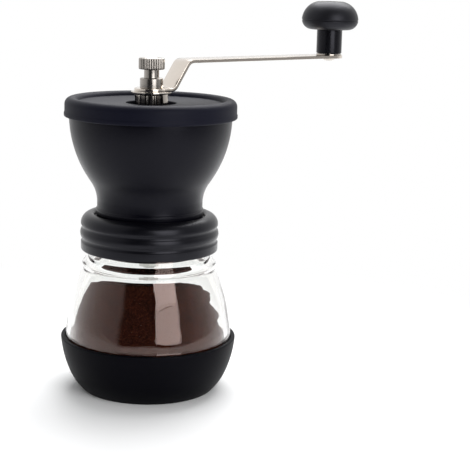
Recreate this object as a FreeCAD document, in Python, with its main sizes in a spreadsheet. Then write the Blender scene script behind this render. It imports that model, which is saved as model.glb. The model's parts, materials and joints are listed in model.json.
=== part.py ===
import FreeCAD, Part
import math
import os
import Sketcher

# Driving dimensions in millimetres, and counts and angles in degrees
SIZES = {
    # Silicone boot that the jar stands in
    "boot_rim_radius": 46.5,
    "boot_flank_inset": 1.15,
    "boot_heel_inset": 4.3,
    "boot_foot_inset": 11.5,
    "boot_heel_height": 10.4,
    "boot_flank_height": 20.2,
    "boot_height": 28.5,
    "boot_wall": 2.2,
    "boot_floor": 2.8,
    "boot_heel_bulge": 0.5,
    "boot_fit": 0.15,
    "boot_rim_bevel": 0.7,
    # Glass jar
    "jar_height": 85.2,
    "glass_wall": 3.0,
    "glass_floor": 4.6,
    "jar_side_bulge": 2.4,
    "jar_neck_height": 13.0,
    "jar_neck_step": 1.0,
    "jar_neck_sweep": 4.0,
    "jar_floor_inset": 12.0,
    "jar_lip_bevel": 1.0,
    "seal_thickness": 1.5,
    # Burr set, ceramic
    "burr_edge_radius": 18.1,
    "burr_throat_radius": 14.5,
    "burr_mouth_radius": 17.0,
    "burr_zone_height": 6.2,
    "burr_running_gap": 0.92,
    "burr_ring_wall": 3.1,
    "burr_ring_height": 15.0,
    "burr_rim_height": 1.5,
    "burr_cap_height": 3.6,
    "burr_cap_radius": 10.4,
    "burr_core_flats": 11.0,
    "burr_tooth_count": 30,
    "burr_tooth_depth": 0.9,
    "burr_tooth_lean": 18.0,
    "burr_flute_count": 6,
    "burr_flute_depth": 1.9,
    "burr_flute_lean": 34.0,
    # Burr holder and its bayonet under the collar
    "holder_wall": 3.0,
    "holder_fit": 0.1,
    "holder_gap": 0.25,
    "holder_lip": 2.0,
    "holder_lip_reach": 2.4,
    "lug_reach": 1.8,
    "lug_height": 2.2,
    "lug_width": 30.0,
    "lug_drop": 6.5,
    "ledge_height": 2.0,
    "ledge_width": 40.0,
    "bayonet_wall": 1.3,
    "bayonet_gap": 0.3,
    "mouth_clearance": 0.5,
    # Ribbed collar that screws on the jar
    "thread_depth": 1.7,
    "thread_clearance": 0.6,
    "collar_wall": 2.6,
    "collar_depth": 17.4,
    "collar_chamfer": 0.6,
    "collar_band": 4.4,
    "collar_groove_height": 2.6,
    "collar_groove_depth": 0.5,
    "collar_rib_height": 3.8,
    "collar_rib_rise": 0.4,
    "collar_shoulder": 4.9,
    "collar_rise": 1.9,
    "collar_slope": 2.6,
    "deck_thickness": 3.0,
    "throat_radius": 17.2,
    # Hopper
    "hopper_height": 57.1,
    "hopper_rim_radius": 42.4,
    "hopper_wall": 2.4,
    "hopper_rim_band": 5.6,
    "hopper_foot_gap": 1.4,
    "hopper_foot_height": 3.1,
    "hopper_lip": 0.6,
    "hopper_lip_height": 1.3,
    "hopper_spigot_step": 0.5,
    "hopper_neck_height": 9.0,
    "hopper_turn_rise": 19.5,
    "hopper_turn_flare": 4.1,
    "hopper_turn_sag": 0.95,
    "hopper_bowl_bulge": 2.5,
    "funnel_rise": 2.5,
    "clamp_width": 3.8,
    "clamp_height": 1.5,
    "clamp_fit": 0.15,
    # Silicone lid
    "lid_clearance": 0.4,
    "lid_skirt": 1.95,
    "lid_overlap": 4.6,
    "lid_lip": 0.7,
    "lid_plate": 2.2,
    "lid_plate_lift": 0.6,
    "lid_rim_rise": 2.4,
    "lid_rim_round": 3.6,
    "lid_rim_width": 7.0,
    "lid_plug_wall": 2.0,
    "lid_plug_depth": 3.2,
    "lid_hole_radius": 13.1,
    # Shaft, its support and bushes
    "shaft_radius": 3.0,
    "shaft_flats": 4.6,
    "shaft_tail": 1.3,
    "running_gap": 0.06,
    "pillar_drop": 3.1,
    "pillar_radius": 7.4,
    "pillar_taper": 1.6,
    "pillar_relief": 0.6,
    "arm_web_width": 4.0,
    "arm_web_height": 8.0,
    "bush_wall": 1.8,
    "bush_length": 12.0,
    "bush_flange": 1.0,
    "bush_flange_reach": 1.8,
    "screw_radius": 1.25,
    "screw_head_radius": 2.2,
    "screw_head_height": 1.3,
    "screw_length": 8.0,
    "screw_inset": 2.4,
    # Spring and washers on the shaft
    "spring_wire_radius": 0.5,
    "spring_coil_radius": 5.2,
    "spring_turns": 3.5,
    "spring_play": 0.1,
    "washer_thickness": 0.8,
    "washer_radius": 7.0,
    "burr_nut_flats": 10.0,
    "burr_nut_height": 5.0,
    # Adjusting nut and stop plate
    "adjuster_radius": 8.55,
    "adjuster_height": 9.4,
    "adjuster_notch_count": 12,
    "adjuster_notch_radius": 1.25,
    "plate_gap": 0.4,
    "plate_radius": 10.5,
    "plate_thickness": 1.0,
    "tab_width": 3.6,
    "tab_reach": 4.6,
    "tab_angle": -70.0,
    "nib_width_share": 1.1,
    "nib_reach_share": 0.6,
    # Crank arm
    "arm_thickness": 1.6,
    "arm_ring_radius": 8.9,
    "arm_root_width": 16.0,
    "arm_tip_width": 15.0,
    "arm_reach": 110.0,
    "arm_low_bend": 9.6,
    "arm_high_bend": 18.5,
    "arm_rise": 14.7,
    "arm_tip_rise": 1.2,
    "arm_tip_flat": 12.0,
    "arm_bend_radius": 2.0,
    # Thumb nut on top of the shaft
    "thumb_base_radius": 6.0,
    "thumb_base_height": 5.3,
    "thumb_neck_radius": 3.9,
    "thumb_neck_height": 4.4,
    "thumb_head_radius": 6.75,
    "thumb_head_height": 5.9,
    "thumb_round": 1.0,
    "thumb_cap": 5.2,
    "knurl_count": 30,
    "knurl_depth": 0.4,
    # Knob
    "pin_radius": 2.6,
    "pin_head_radius": 4.3,
    "pin_head_height": 1.5,
    "rivet_radius": 4.0,
    "rivet_height": 1.5,
    "knob_washer_thickness": 0.8,
    "knob_play": 0.2,
    "sleeve_radius": 7.0,
    "sleeve_length": 13.0,
    "sleeve_spigot": 4.0,
    "sleeve_spigot_wall": 1.6,
    "knob_radius": 15.55,
    "knob_height": 15.3,
    "knob_belly": 6.3,
    "knob_under_radius": 10.9,
    "knob_crown_radius": 7.0,
    "knob_recess_radius": 5.55,
    "knob_recess_depth": 5.6,
    "knob_recess_bevel": 0.5,
    # Shares of a run and of a rise that place the middle points of arcs
    "heel_bend_run": 0.2,
    "heel_bend_rise": 0.36,
    "neck_bend_run": 0.25,
    "shoulder_bend_run": 0.72,
    "shoulder_bend_rise": 0.71,
    "crest_bend_run": 0.3,
    "crest_bend_rise": 0.75,
    "lid_bend_run": 0.32,
    "lid_bend_rise": 0.7,
    "under_bend_run": 0.73,
    "under_bend_rise": 0.3,
    "crown_bend_run": 0.72,
    "crown_bend_rise": 0.6,
    "rivet_bend_run": 0.75,
    "rivet_bend_rise": 0.55,
}
SCREW_COUNT = 3
LUG_COUNT = 3
WEB_COUNT = 3
TOOTH_OVERRUN = 0.15
SPRING_SPOTS = 9
DIAGONAL = math.sqrt(0.5)
TOLERANCE = 1e-3

doc = FreeCAD.newDocument("coffee_grinder")
sheet = doc.addObject("Spreadsheet::Sheet", "Sizes")
for row, (alias, number) in enumerate(SIZES.items(), start=1):
    sheet.set(f"A{row}", alias)
    sheet.set(f"B{row}", str(number))
    sheet.setAlias(f"B{row}", alias)
doc.recompute()


class Size:
    """A length worked out from the sheet: its expression and its present value."""

    def __init__(self, text, value):
        self.text = text
        self.value = value

    def joined(self, sign, other, value):
        return Size(f"({self.text} {sign} {measure(other).text})", value)

    def __add__(self, other):
        return self.joined("+", other, self.value + measure(other).value)

    def __sub__(self, other):
        return self.joined("-", other, self.value - measure(other).value)

    def __mul__(self, other):
        return self.joined("*", other, self.value * measure(other).value)

    def __truediv__(self, other):
        return self.joined("/", other, self.value / measure(other).value)

    def __rmul__(self, other):
        return measure(other) * self

    def __neg__(self):
        return Size(f"(0 - {self.text})", -self.value)

    def root(self):
        return Size(f"sqrt({self.text})", math.sqrt(self.value))


class Sheet:
    """The sheet's cells by alias, each as a Size."""

    def __getattr__(self, alias):
        return Size(f"Sizes.{alias}", float(sheet.get(alias)))


def measure(number):
    """A plain number as a Size; a Size stays as it is."""
    if isinstance(number, Size):
        return number
    return Size(repr(float(number)), float(number))


def polar(radius, degrees):
    """The point at a radius and an angle about the axis."""
    radius = measure(radius)
    degrees = measure(degrees)
    angle = math.radians(degrees.value)
    along = Size(f"({radius.text} * cos({degrees.text} * 1 deg))", radius.value * math.cos(angle))
    across = Size(f"({radius.text} * sin({degrees.text} * 1 deg))", radius.value * math.sin(angle))
    return along, across


def set_size(item, prop, size):
    """Set a property from a Size and bind it to the sheet."""
    item.setExpression(prop, measure(size).text)


def new_body(label):
    body = doc.addObject("PartDesign::Body", label)
    body.Label = label
    return body


def origin_feature(body, role):
    return next(item for item in body.Origin.OriginFeatures if item.Role == role)


def new_sketch(body, plane, level=None):
    """A sketch on one of the body's own origin planes, raised to a level."""
    sketch = body.newObject("Sketcher::SketchObject", "Outline")
    sketch.AttachmentSupport = [(origin_feature(body, plane), "")]
    sketch.MapMode = "FlatFace"
    if level is not None:
        sketch.AttachmentOffset = FreeCAD.Placement(
            FreeCAD.Vector(0, 0, level.value), FreeCAD.Rotation())
        set_size(sketch, "AttachmentOffset.Base.z", level)
    return sketch


def bind_point(sketch, curve, end, across, up):
    """Hold one point of a sketch at sizes across and up from its origin."""
    for kind, size, axis in (("DistanceX", measure(across), -2), ("DistanceY", measure(up), -1)):
        if abs(size.value) < TOLERANCE:
            sketch.addConstraint(Sketcher.Constraint("PointOnObject", curve, end, axis))
            continue
        held = sketch.addConstraint(Sketcher.Constraint(kind, -1, 1, curve, end, size.value))
        sketch.setExpression(f"Constraints[{held}]", size.text)


def flat(point):
    return FreeCAD.Vector(measure(point[0]).value, measure(point[1]).value, 0)


def upright_arc(start, middle, stop):
    """An anticlockwise sketch arc through three points, with its ends in drawing order."""
    ends = (1, 2)
    if (middle - start).cross(stop - middle).z < 0:
        start, stop = stop, start
        ends = (2, 1)
    centre = Part.Arc(start, middle, stop).toShape().Curve.Center
    first = math.atan2(start.y - centre.y, start.x - centre.x)
    last = math.atan2(stop.y - centre.y, stop.x - centre.x)
    circle = Part.Circle(centre, FreeCAD.Vector(0, 0, 1), start.distanceToPoint(centre))
    return Part.ArcOfCircle(circle, first, last if last > first else last + 2 * math.pi), ends


def closed_outline(sketch, corners):
    """Draw a closed outline; a corner with a third item is reached by an arc through that point."""
    first = None
    previous = None
    for start, stop in zip(corners, corners[1:] + corners[:1]):
        if len(stop) == 3:
            arc, ends = upright_arc(flat(start), flat(stop[2]), flat(stop))
            curve = sketch.addGeometry(arc, False)
            middle = sketch.addGeometry(Part.Point(flat(stop[2])), True)
            bind_point(sketch, middle, 1, *stop[2])
            sketch.addConstraint(Sketcher.Constraint("PointOnObject", middle, 1, curve))
        else:
            curve = sketch.addGeometry(Part.LineSegment(flat(start), flat(stop)), False)
            ends = (1, 2)
        bind_point(sketch, curve, ends[0], start[0], start[1])
        if previous is not None:
            sketch.addConstraint(Sketcher.Constraint("Coincident", *previous, curve, ends[0]))
        else:
            first = (curve, ends[0])
        previous = (curve, ends[1])
    sketch.addConstraint(Sketcher.Constraint("Coincident", *previous, *first))


def circle_outline(sketch, radius, centre=(0.0, 0.0)):
    """Draw a circle with its radius and centre bound to the sheet."""
    circle = Part.Circle(flat(centre), FreeCAD.Vector(0, 0, 1), radius.value)
    curve = sketch.addGeometry(circle, False)
    bind_point(sketch, curve, 3, *centre)
    held = sketch.addConstraint(Sketcher.Constraint("Radius", curve, radius.value))
    sketch.setExpression(f"Constraints[{held}]", radius.text)


def turn(body, corners):
    """Add a solid of revolution about the axis from corners given as radius and height."""
    sketch = new_sketch(body, "XZ_Plane")
    closed_outline(sketch, corners)
    feature = body.newObject("PartDesign::Revolution", "Turned")
    feature.Profile = sketch
    feature.ReferenceAxis = (sketch, ["V_Axis"])
    feature.Angle = 360
    doc.recompute()
    return feature


def turned(label, corners):
    """A body made of one solid of revolution."""
    body = new_body(label)
    turn(body, corners)
    return body


def raise_pad(body, sketch, height):
    """Pad a sketch upwards."""
    feature = body.newObject("PartDesign::Pad", "Raised")
    feature.Profile = sketch
    set_size(feature, "Length", height)
    doc.recompute()
    return feature


def cut_through(body, sketch):
    """Cut a sketch through the whole body, both ways."""
    before = body.Shape.Volume
    feature = body.newObject("PartDesign::Pocket", "Cut")
    feature.Profile = sketch
    feature.Type = "ThroughAll"
    feature.Midplane = True
    doc.recompute()
    if body.Shape.Volume > before - TOLERANCE:
        raise RuntimeError(f"{body.Label}: a cut removed nothing")
    return feature


def primitive(body, kind, place, **sizes):
    """Add or take away one of the simple solids at a placement."""
    feature = body.newObject(f"PartDesign::{kind}", kind)
    feature.Placement = place
    for prop, size in sizes.items():
        set_size(feature, prop, size)
    doc.recompute()
    return feature


def upright(point, level, degrees=0.0):
    """A placement at a point and level, turned about the axis."""
    spin = FreeCAD.Rotation(FreeCAD.Vector(0, 0, 1), degrees)
    return FreeCAD.Placement(flat(point) + FreeCAD.Vector(0, 0, measure(level).value), spin)


def repeat(body, features, count):
    """Repeat features evenly about the axis."""
    pattern = body.newObject("PartDesign::PolarPattern", "Repeated")
    pattern.Originals = features
    pattern.Axis = (origin_feature(body, "Z_Axis"), [""])
    pattern.Angle = 360
    if isinstance(count, Size):
        pattern.setExpression("Occurrences", count.text)
    else:
        pattern.Occurrences = count
    body.Tip = pattern
    doc.recompute()
    return pattern


def dress_edges(body, kind, names, measured, amount):
    """Add a fillet or chamfer to the named edges of a body."""
    base = body.Tip
    feature = body.newObject(f"PartDesign::{kind}", kind)
    feature.Base = (base, names)
    set_size(feature, measured, amount)
    body.Tip = feature
    doc.recompute()


def bevel_rings(body, rings, width):
    """Bevel the circular edges at the given radius and height pairs."""
    names = []
    for index, edge in enumerate(body.Shape.Edges, start=1):
        curve = edge.Curve
        if not isinstance(curve, Part.Circle):
            continue
        for ring_radius, level in rings:
            if (abs(curve.Radius - measure(ring_radius).value) < TOLERANCE
                    and abs(curve.Center.z - measure(level).value) < TOLERANCE):
                names.append(f"Edge{index}")
    dress_edges(body, "Chamfer", names, "Size", width)


def double_flat_hole(body, radius, flats):
    """Cut a round hole with two flats, which keys a piece to the shaft."""
    half = flats / 2
    reach = (radius * radius - half * half).root()
    sketch = new_sketch(body, "XY_Plane")
    closed_outline(sketch, [
        (-reach, -half, (-radius, 0.0)),
        (reach, -half),
        (reach, half, (radius, 0.0)),
        (-reach, half),
    ])
    return cut_through(body, sketch)


size = Sheet()


# Levels up the axis, from the floor
jar_foot = size.boot_floor
jar_rim = jar_foot + size.jar_height
neck_foot = jar_rim - size.jar_neck_height
deck_under = jar_rim + size.seal_thickness
deck_top = deck_under + size.deck_thickness
collar_foot = deck_top - size.collar_depth
hopper_rim = deck_top + size.hopper_height
pillar_top = hopper_rim - size.pillar_drop
nut_seat = pillar_top + size.bush_flange
nut_top = nut_seat + size.adjuster_height
plate_under = nut_top + size.plate_gap
plate_top = plate_under + size.plate_thickness
arm_top = plate_top + size.arm_thickness
burr_top = deck_under - size.holder_gap
burr_edge = burr_top - size.burr_ring_height
burr_throat = burr_edge + size.burr_zone_height
holder_foot = burr_edge - size.holder_lip
lug_foot = burr_top - size.lug_drop - size.lug_height
ledge_foot = lug_foot - size.holder_fit - size.ledge_height
inner_top = burr_throat + size.burr_cap_height
inner_foot = burr_edge - size.burr_rim_height
spring_foot = inner_top + size.washer_thickness
lower_bush_foot = deck_top - size.bush_flange
burr_washer_foot = inner_foot - size.washer_thickness
burr_nut_foot = burr_washer_foot - size.burr_nut_height
shaft_foot = burr_nut_foot - size.shaft_tail

# Radii, from the burrs outwards to the collar and back in to the hopper's neck
ring_radius = size.burr_edge_radius + size.burr_ring_wall
pocket_radius = ring_radius + size.holder_fit
holder_radius = pocket_radius + size.holder_wall
ledge_radius = holder_radius + size.bayonet_gap
bayonet_bore = holder_radius + size.lug_reach + size.bayonet_gap
bayonet_radius = bayonet_bore + size.bayonet_wall
mouth_radius = bayonet_radius + size.mouth_clearance
neck_radius = mouth_radius + size.glass_wall
collar_bore = neck_radius + size.thread_depth + size.thread_clearance
collar_radius = collar_bore + size.collar_wall
crest_radius = collar_radius - size.collar_shoulder
well_radius = crest_radius - size.collar_slope
spigot_radius = well_radius - size.hopper_foot_gap
hopper_neck_radius = spigot_radius + size.hopper_spigot_step
clamp_radius = size.throat_radius + size.clamp_width
shaft_bore = size.shaft_radius + size.running_gap
bush_radius = shaft_bore + size.bush_wall
screw_circle = bayonet_bore - size.screw_inset


def between(first, second, share):
    """The size a share of the way from one size to another."""
    return first + (second - first) * share


# Silicone boot: a dished cup with a rounded heel
foot_radius = size.boot_rim_radius - size.boot_foot_inset
heel_radius = size.boot_rim_radius - size.boot_heel_inset
flank_radius = size.boot_rim_radius - size.boot_flank_inset
heel_middle = between(foot_radius, heel_radius, 0.5) + size.boot_heel_bulge
heel_inside = heel_radius - size.boot_wall
heel_inside_middle = between(foot_radius, heel_inside, 0.5) + size.boot_heel_bulge
heel_inside_level = between(size.boot_floor, size.boot_heel_height, 0.5) - size.boot_heel_bulge
rim_inside = size.boot_rim_radius - size.boot_wall
base_boot = turned("base_boot", [
    (0.0, 0.0),
    (foot_radius, 0.0),
    (heel_radius, size.boot_heel_height, (heel_middle, size.boot_heel_height / 2 - size.boot_heel_bulge)),
    (size.boot_rim_radius, size.boot_height, (flank_radius, size.boot_flank_height)),
    (rim_inside, size.boot_height),
    (heel_inside, size.boot_heel_height, (flank_radius - size.boot_wall, size.boot_flank_height)),
    (foot_radius, size.boot_floor, (heel_inside_middle, heel_inside_level)),
    (0.0, size.boot_floor),
])
bevel_rings(base_boot, [(size.boot_rim_radius, size.boot_height), (rim_inside, size.boot_height)],
            size.boot_rim_bevel)

# Glass jar: heel and belly seat in the boot, sides draw in to a threaded neck
belly_radius = rim_inside - size.boot_fit
belly_inside = belly_radius - size.glass_wall
shoulder_radius = neck_radius + size.jar_neck_step
shoulder_level = neck_foot - size.jar_neck_sweep
side_middle = between(belly_radius, shoulder_radius, 0.5) + size.jar_side_bulge
side_level = between(size.boot_height, shoulder_level, 0.5)
sweep_level = between(shoulder_level, neck_foot, 0.5)
sweep_radius = neck_radius + size.jar_neck_step * size.neck_bend_run
jar_floor = jar_foot + size.glass_floor
floor_radius = belly_inside - size.jar_floor_inset
inner_heel = (belly_inside - size.jar_floor_inset * size.heel_bend_run,
              between(jar_floor, size.boot_height, size.heel_bend_rise))
glass_jar = turned("glass_jar", [
    (0.0, jar_foot),
    (foot_radius - size.boot_fit, jar_foot),
    (heel_inside - size.boot_fit, size.boot_heel_height,
     (heel_inside_middle - size.boot_fit, heel_inside_level)),
    (belly_radius, size.boot_height,
     (flank_radius - size.boot_wall - size.boot_fit, size.boot_flank_height)),
    (shoulder_radius, shoulder_level, (side_middle, side_level)),
    (neck_radius, neck_foot, (sweep_radius, sweep_level)),
    (neck_radius, jar_rim),
    (mouth_radius, jar_rim),
    (mouth_radius, neck_foot),
    (shoulder_radius - size.glass_wall, shoulder_level, (sweep_radius - size.glass_wall, sweep_level)),
    (belly_inside, size.boot_height, (side_middle - size.glass_wall, side_level)),
    (floor_radius, jar_floor, inner_heel),
    (0.0, jar_floor),
])
bevel_rings(glass_jar, [(neck_radius, jar_rim), (mouth_radius, jar_rim)], size.jar_lip_bevel)

# Flat seal between the jar's rim and the collar's deck
jar_seal = turned("jar_seal", [
    (mouth_radius, jar_rim),
    (neck_radius, jar_rim),
    (neck_radius, deck_under),
    (mouth_radius, deck_under),
])

# Collar: ribbed skirt, rounded shoulder, deck and bayonet ring in one moulding
band_top = collar_foot + size.collar_band
groove_top = band_top + size.collar_groove_height
rib_top = groove_top + size.collar_rib_height
shoulder_foot = rib_top + size.collar_groove_height
collar_crest = deck_top + size.collar_rise
groove_bottom = collar_radius - size.collar_groove_depth
shoulder_bend = (crest_radius + size.collar_shoulder * size.shoulder_bend_run,
                 between(shoulder_foot, collar_crest, size.shoulder_bend_rise))
crest_bend = (well_radius + size.collar_slope * size.crest_bend_run,
              deck_top + size.collar_rise * size.crest_bend_rise)
collar = turned("collar", [
    (collar_bore, collar_foot),
    (collar_radius - size.collar_chamfer, collar_foot),
    (collar_radius, collar_foot + size.collar_chamfer),
    (collar_radius, band_top),
    (collar_radius, groove_top, (groove_bottom, between(band_top, groove_top, 0.5))),
    (collar_radius, rib_top, (collar_radius + size.collar_rib_rise, between(groove_top, rib_top, 0.5))),
    (collar_radius, shoulder_foot, (groove_bottom, between(rib_top, shoulder_foot, 0.5))),
    (crest_radius, collar_crest, shoulder_bend),
    (well_radius, deck_top, crest_bend),
    (size.throat_radius, deck_top),
    (size.throat_radius, deck_under),
    (bayonet_bore, deck_under),
    (bayonet_bore, ledge_foot),
    (bayonet_radius, ledge_foot),
    (bayonet_radius, deck_under),
    (collar_bore, deck_under),
])


def ring_sector(body, level, height, inner, outer, degrees):
    """Pad a piece of a ring that spans an angle, centred on the X axis."""
    half = degrees / 2
    sketch = new_sketch(body, "XY_Plane", level)
    closed_outline(sketch, [
        (*polar(inner, -half), (inner, 0.0)),
        polar(outer, -half),
        (*polar(outer, half), (outer, 0.0)),
        polar(inner, half),
    ])
    return raise_pad(body, sketch, height)


ledge = ring_sector(collar, ledge_foot, size.ledge_height, ledge_radius,
                    bayonet_bore + size.bayonet_wall / 2, size.ledge_width)
repeat(collar, [ledge], LUG_COUNT)
screw_seat = polar(screw_circle, 180.0 / SCREW_COUNT)
sink = primitive(collar, "SubtractiveCone", upright(screw_seat, deck_under),
                 Radius1=size.screw_head_radius, Radius2=size.screw_radius, Height=size.screw_head_height)
bore = primitive(collar, "SubtractiveCylinder", upright(screw_seat, deck_under),
                 Radius=size.screw_radius + size.running_gap, Height=size.deck_thickness)
repeat(collar, [sink, bore], SCREW_COUNT)

# Hopper: bowl, turned-in neck, foot lip and a funnel floor over the burrs
foot_top = deck_top + size.hopper_foot_height
lip_top = foot_top + size.hopper_lip_height
neck_top = deck_top + size.hopper_neck_height
turn_top = deck_top + size.hopper_turn_rise
turn_radius = hopper_neck_radius + size.hopper_turn_flare
turn_middle = between(hopper_neck_radius, turn_radius, 0.5) - size.hopper_turn_sag
turn_level = between(neck_top, turn_top, 0.5)
band_foot = hopper_rim - size.hopper_rim_band
bowl_middle = between(turn_radius, size.hopper_rim_radius, 0.5) + size.hopper_bowl_bulge
bowl_level = between(turn_top, band_foot, 0.5)
wall = size.hopper_wall
seat_top = deck_top + size.clamp_height + size.clamp_fit
hopper = turned("hopper", [
    (spigot_radius, deck_top),
    (spigot_radius, foot_top),
    (hopper_neck_radius + size.hopper_lip, foot_top),
    (hopper_neck_radius + size.hopper_lip, lip_top),
    (hopper_neck_radius, lip_top + size.hopper_lip),
    (hopper_neck_radius, neck_top),
    (turn_radius, turn_top, (turn_middle, turn_level)),
    (size.hopper_rim_radius, band_foot, (bowl_middle, bowl_level)),
    (size.hopper_rim_radius, hopper_rim),
    (size.hopper_rim_radius - wall, hopper_rim),
    (size.hopper_rim_radius - wall, band_foot),
    (turn_radius - wall, turn_top, (bowl_middle - wall, bowl_level)),
    (hopper_neck_radius - wall, neck_top, (turn_middle - wall, turn_level)),
    (size.throat_radius, deck_top + size.funnel_rise),
    (size.throat_radius, seat_top),
    (clamp_radius + size.clamp_fit, seat_top),
    (clamp_radius + size.clamp_fit, deck_top),
])
bore = primitive(hopper, "SubtractiveCylinder", upright(screw_seat, deck_top),
                 Radius=size.screw_radius + size.running_gap,
                 Height=size.screw_length - size.deck_thickness + size.clamp_fit)
repeat(hopper, [bore], SCREW_COUNT)

# Countersunk screws, up through the deck into the hopper's foot
screws = []
for index in range(SCREW_COUNT):
    seat = polar(screw_circle, (2 * index + 1) * 180.0 / SCREW_COUNT)
    head = doc.addObject("Part::Cone", "ScrewHead")
    set_size(head, "Radius1", size.screw_head_radius - size.running_gap)
    set_size(head, "Radius2", size.screw_radius)
    set_size(head, "Height", size.screw_head_height)
    shank = doc.addObject("Part::Cylinder", "ScrewShank")
    set_size(shank, "Radius", size.screw_radius)
    set_size(shank, "Height", size.screw_length)
    for piece in (head, shank):
        set_size(piece, "Placement.Base.x", seat[0])
        set_size(piece, "Placement.Base.y", seat[1])
        set_size(piece, "Placement.Base.z", deck_under)
    screw = doc.addObject("Part::Fuse", "Screw")
    screw.Base = head
    screw.Tool = shank
    screws.append(screw)
body_screws = doc.addObject("Part::Compound", "body_screws")
body_screws.Label = "body_screws"
body_screws.Links = screws

# Shaft support: a tall pillar on three webs, clamped between hopper and deck
pillar_foot_radius = size.pillar_radius + size.pillar_taper
relief = size.shaft_radius + size.pillar_relief
bush_seat = bush_radius + size.running_gap
shaft_support = turned("shaft_support", [
    (bush_seat, deck_top),
    (pillar_foot_radius, deck_top),
    (size.pillar_radius, pillar_top),
    (bush_seat, pillar_top),
    (bush_seat, pillar_top - size.bush_length),
    (relief, pillar_top - size.bush_length),
    (relief, deck_top + size.bush_length),
    (bush_seat, deck_top + size.bush_length),
])
web_tip = size.throat_radius - size.bayonet_gap
half_web = size.arm_web_width / 2
sketch = new_sketch(shaft_support, "XY_Plane", deck_top)
closed_outline(sketch, [
    (bush_seat + size.bush_wall / 2, -half_web),
    (web_tip, -half_web),
    (web_tip, half_web),
    (bush_seat + size.bush_wall / 2, half_web),
])
web = raise_pad(shaft_support, sketch, size.arm_web_height)
repeat(shaft_support, [web], WEB_COUNT)
turn(shaft_support, [
    (web_tip - size.bush_wall, deck_top),
    (clamp_radius, deck_top),
    (clamp_radius, deck_top + size.clamp_height),
    (web_tip - size.bush_wall, deck_top + size.clamp_height),
])

# Flanged bushes at both ends of the pillar
flange_radius = bush_radius + size.bush_flange_reach
for label, seat, inward in (("upper_bush", pillar_top, -1), ("lower_bush", deck_top, 1)):
    turned(label, [
        (shaft_bore, seat - size.bush_flange * inward),
        (flange_radius, seat - size.bush_flange * inward),
        (flange_radius, seat),
        (bush_radius, seat),
        (bush_radius, seat + size.bush_length * inward),
        (shaft_bore, seat + size.bush_length * inward),
    ])

# Silicone lid: cap with a rolled rim, a recessed plate and a hole round the shaft
lid_bore = size.hopper_rim_radius + size.lid_clearance
lid_radius = lid_bore + size.lid_skirt
skirt_foot = hopper_rim - size.lid_overlap
plate_foot = hopper_rim + size.lid_plate_lift
lid_top = plate_foot + size.lid_plate
lid_crest = lid_top + size.lid_rim_rise
plug_radius = size.hopper_rim_radius - wall - size.lid_clearance
plug_bore = plug_radius - size.lid_plug_wall
plug_foot = hopper_rim - size.lid_plug_depth
crown_radius = lid_radius - size.lid_rim_round
rim_foot_radius = lid_radius - size.lid_rim_width
hopper_lid = turned("hopper_lid", [
    (size.lid_hole_radius, plate_foot),
    (plug_bore, plate_foot),
    (plug_bore, plug_foot),
    (plug_radius, plug_foot),
    (plug_radius, hopper_rim),
    (lid_bore, hopper_rim),
    (lid_bore, skirt_foot),
    (lid_radius - size.lid_lip, skirt_foot),
    (lid_radius, skirt_foot + size.lid_lip),
    (lid_radius, lid_crest - size.lid_rim_round),
    (crown_radius, lid_crest, (crown_radius + size.lid_rim_round * DIAGONAL,
                               lid_crest - size.lid_rim_round * (1 - DIAGONAL))),
    (rim_foot_radius, lid_top, (between(rim_foot_radius, crown_radius, size.lid_bend_run),
                                between(lid_top, lid_crest, size.lid_bend_rise))),
    (size.lid_hole_radius, lid_top),
])

# Burr holder: a cup for the outer burr with three bayonet lugs
burr_holder = turned("burr_holder", [
    (ring_radius - size.holder_lip_reach, holder_foot),
    (holder_radius, holder_foot),
    (holder_radius, burr_top),
    (pocket_radius, burr_top),
    (pocket_radius, burr_edge),
    (ring_radius - size.holder_lip_reach, burr_edge),
])
lug = ring_sector(burr_holder, lug_foot, size.lug_height, holder_radius - size.holder_wall / 2,
                  holder_radius + size.lug_reach, size.lug_width)
repeat(burr_holder, [lug], LUG_COUNT)


def tooth_cutter(body, low, high, depth, lean, inward):
    """Cut one leaning V groove along a cone between two radius and height pairs."""
    start = FreeCAD.Vector(low[0].value, 0, low[1].value)
    slope = FreeCAD.Vector(high[0].value, 0, high[1].value) - start
    reach = slope.Length / math.cos(math.radians(lean.value))
    slope.normalize()
    outward = FreeCAD.Vector(slope.z, 0, -slope.x)
    along = FreeCAD.Rotation(outward, lean.value).multVec(slope)
    point = outward * (-1 if inward else 1)
    spin = FreeCAD.Rotation(point, along.cross(point), along, "ZXY")
    apex = 2 * depth
    overrun = TOOTH_OVERRUN * reach
    place = FreeCAD.Placement(start - point * (apex - depth).value - along * overrun, spin)
    feature = body.newObject("PartDesign::SubtractivePrism", "Tooth")
    feature.Polygon = 3
    feature.Placement = place
    set_size(feature, "Circumradius", apex)
    feature.Height = reach + 2 * overrun
    doc.recompute()
    return feature


# Outer burr: a ceramic ring, flared at the mouth and toothed inside
outer_burr = turned("outer_burr", [
    (size.burr_edge_radius, burr_edge),
    (ring_radius, burr_edge),
    (ring_radius, burr_top),
    (size.burr_mouth_radius, burr_top),
    (size.burr_throat_radius, burr_throat),
])
tooth = tooth_cutter(outer_burr, (size.burr_edge_radius, burr_edge), (size.burr_throat_radius, burr_throat),
                     size.burr_tooth_depth, size.burr_tooth_lean, False)
repeat(outer_burr, [tooth], size.burr_tooth_count)
flute = tooth_cutter(outer_burr, (size.burr_throat_radius, burr_throat), (size.burr_mouth_radius, burr_top),
                     size.burr_flute_depth, size.burr_flute_lean, False)
repeat(outer_burr, [flute], size.burr_flute_count)

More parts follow.
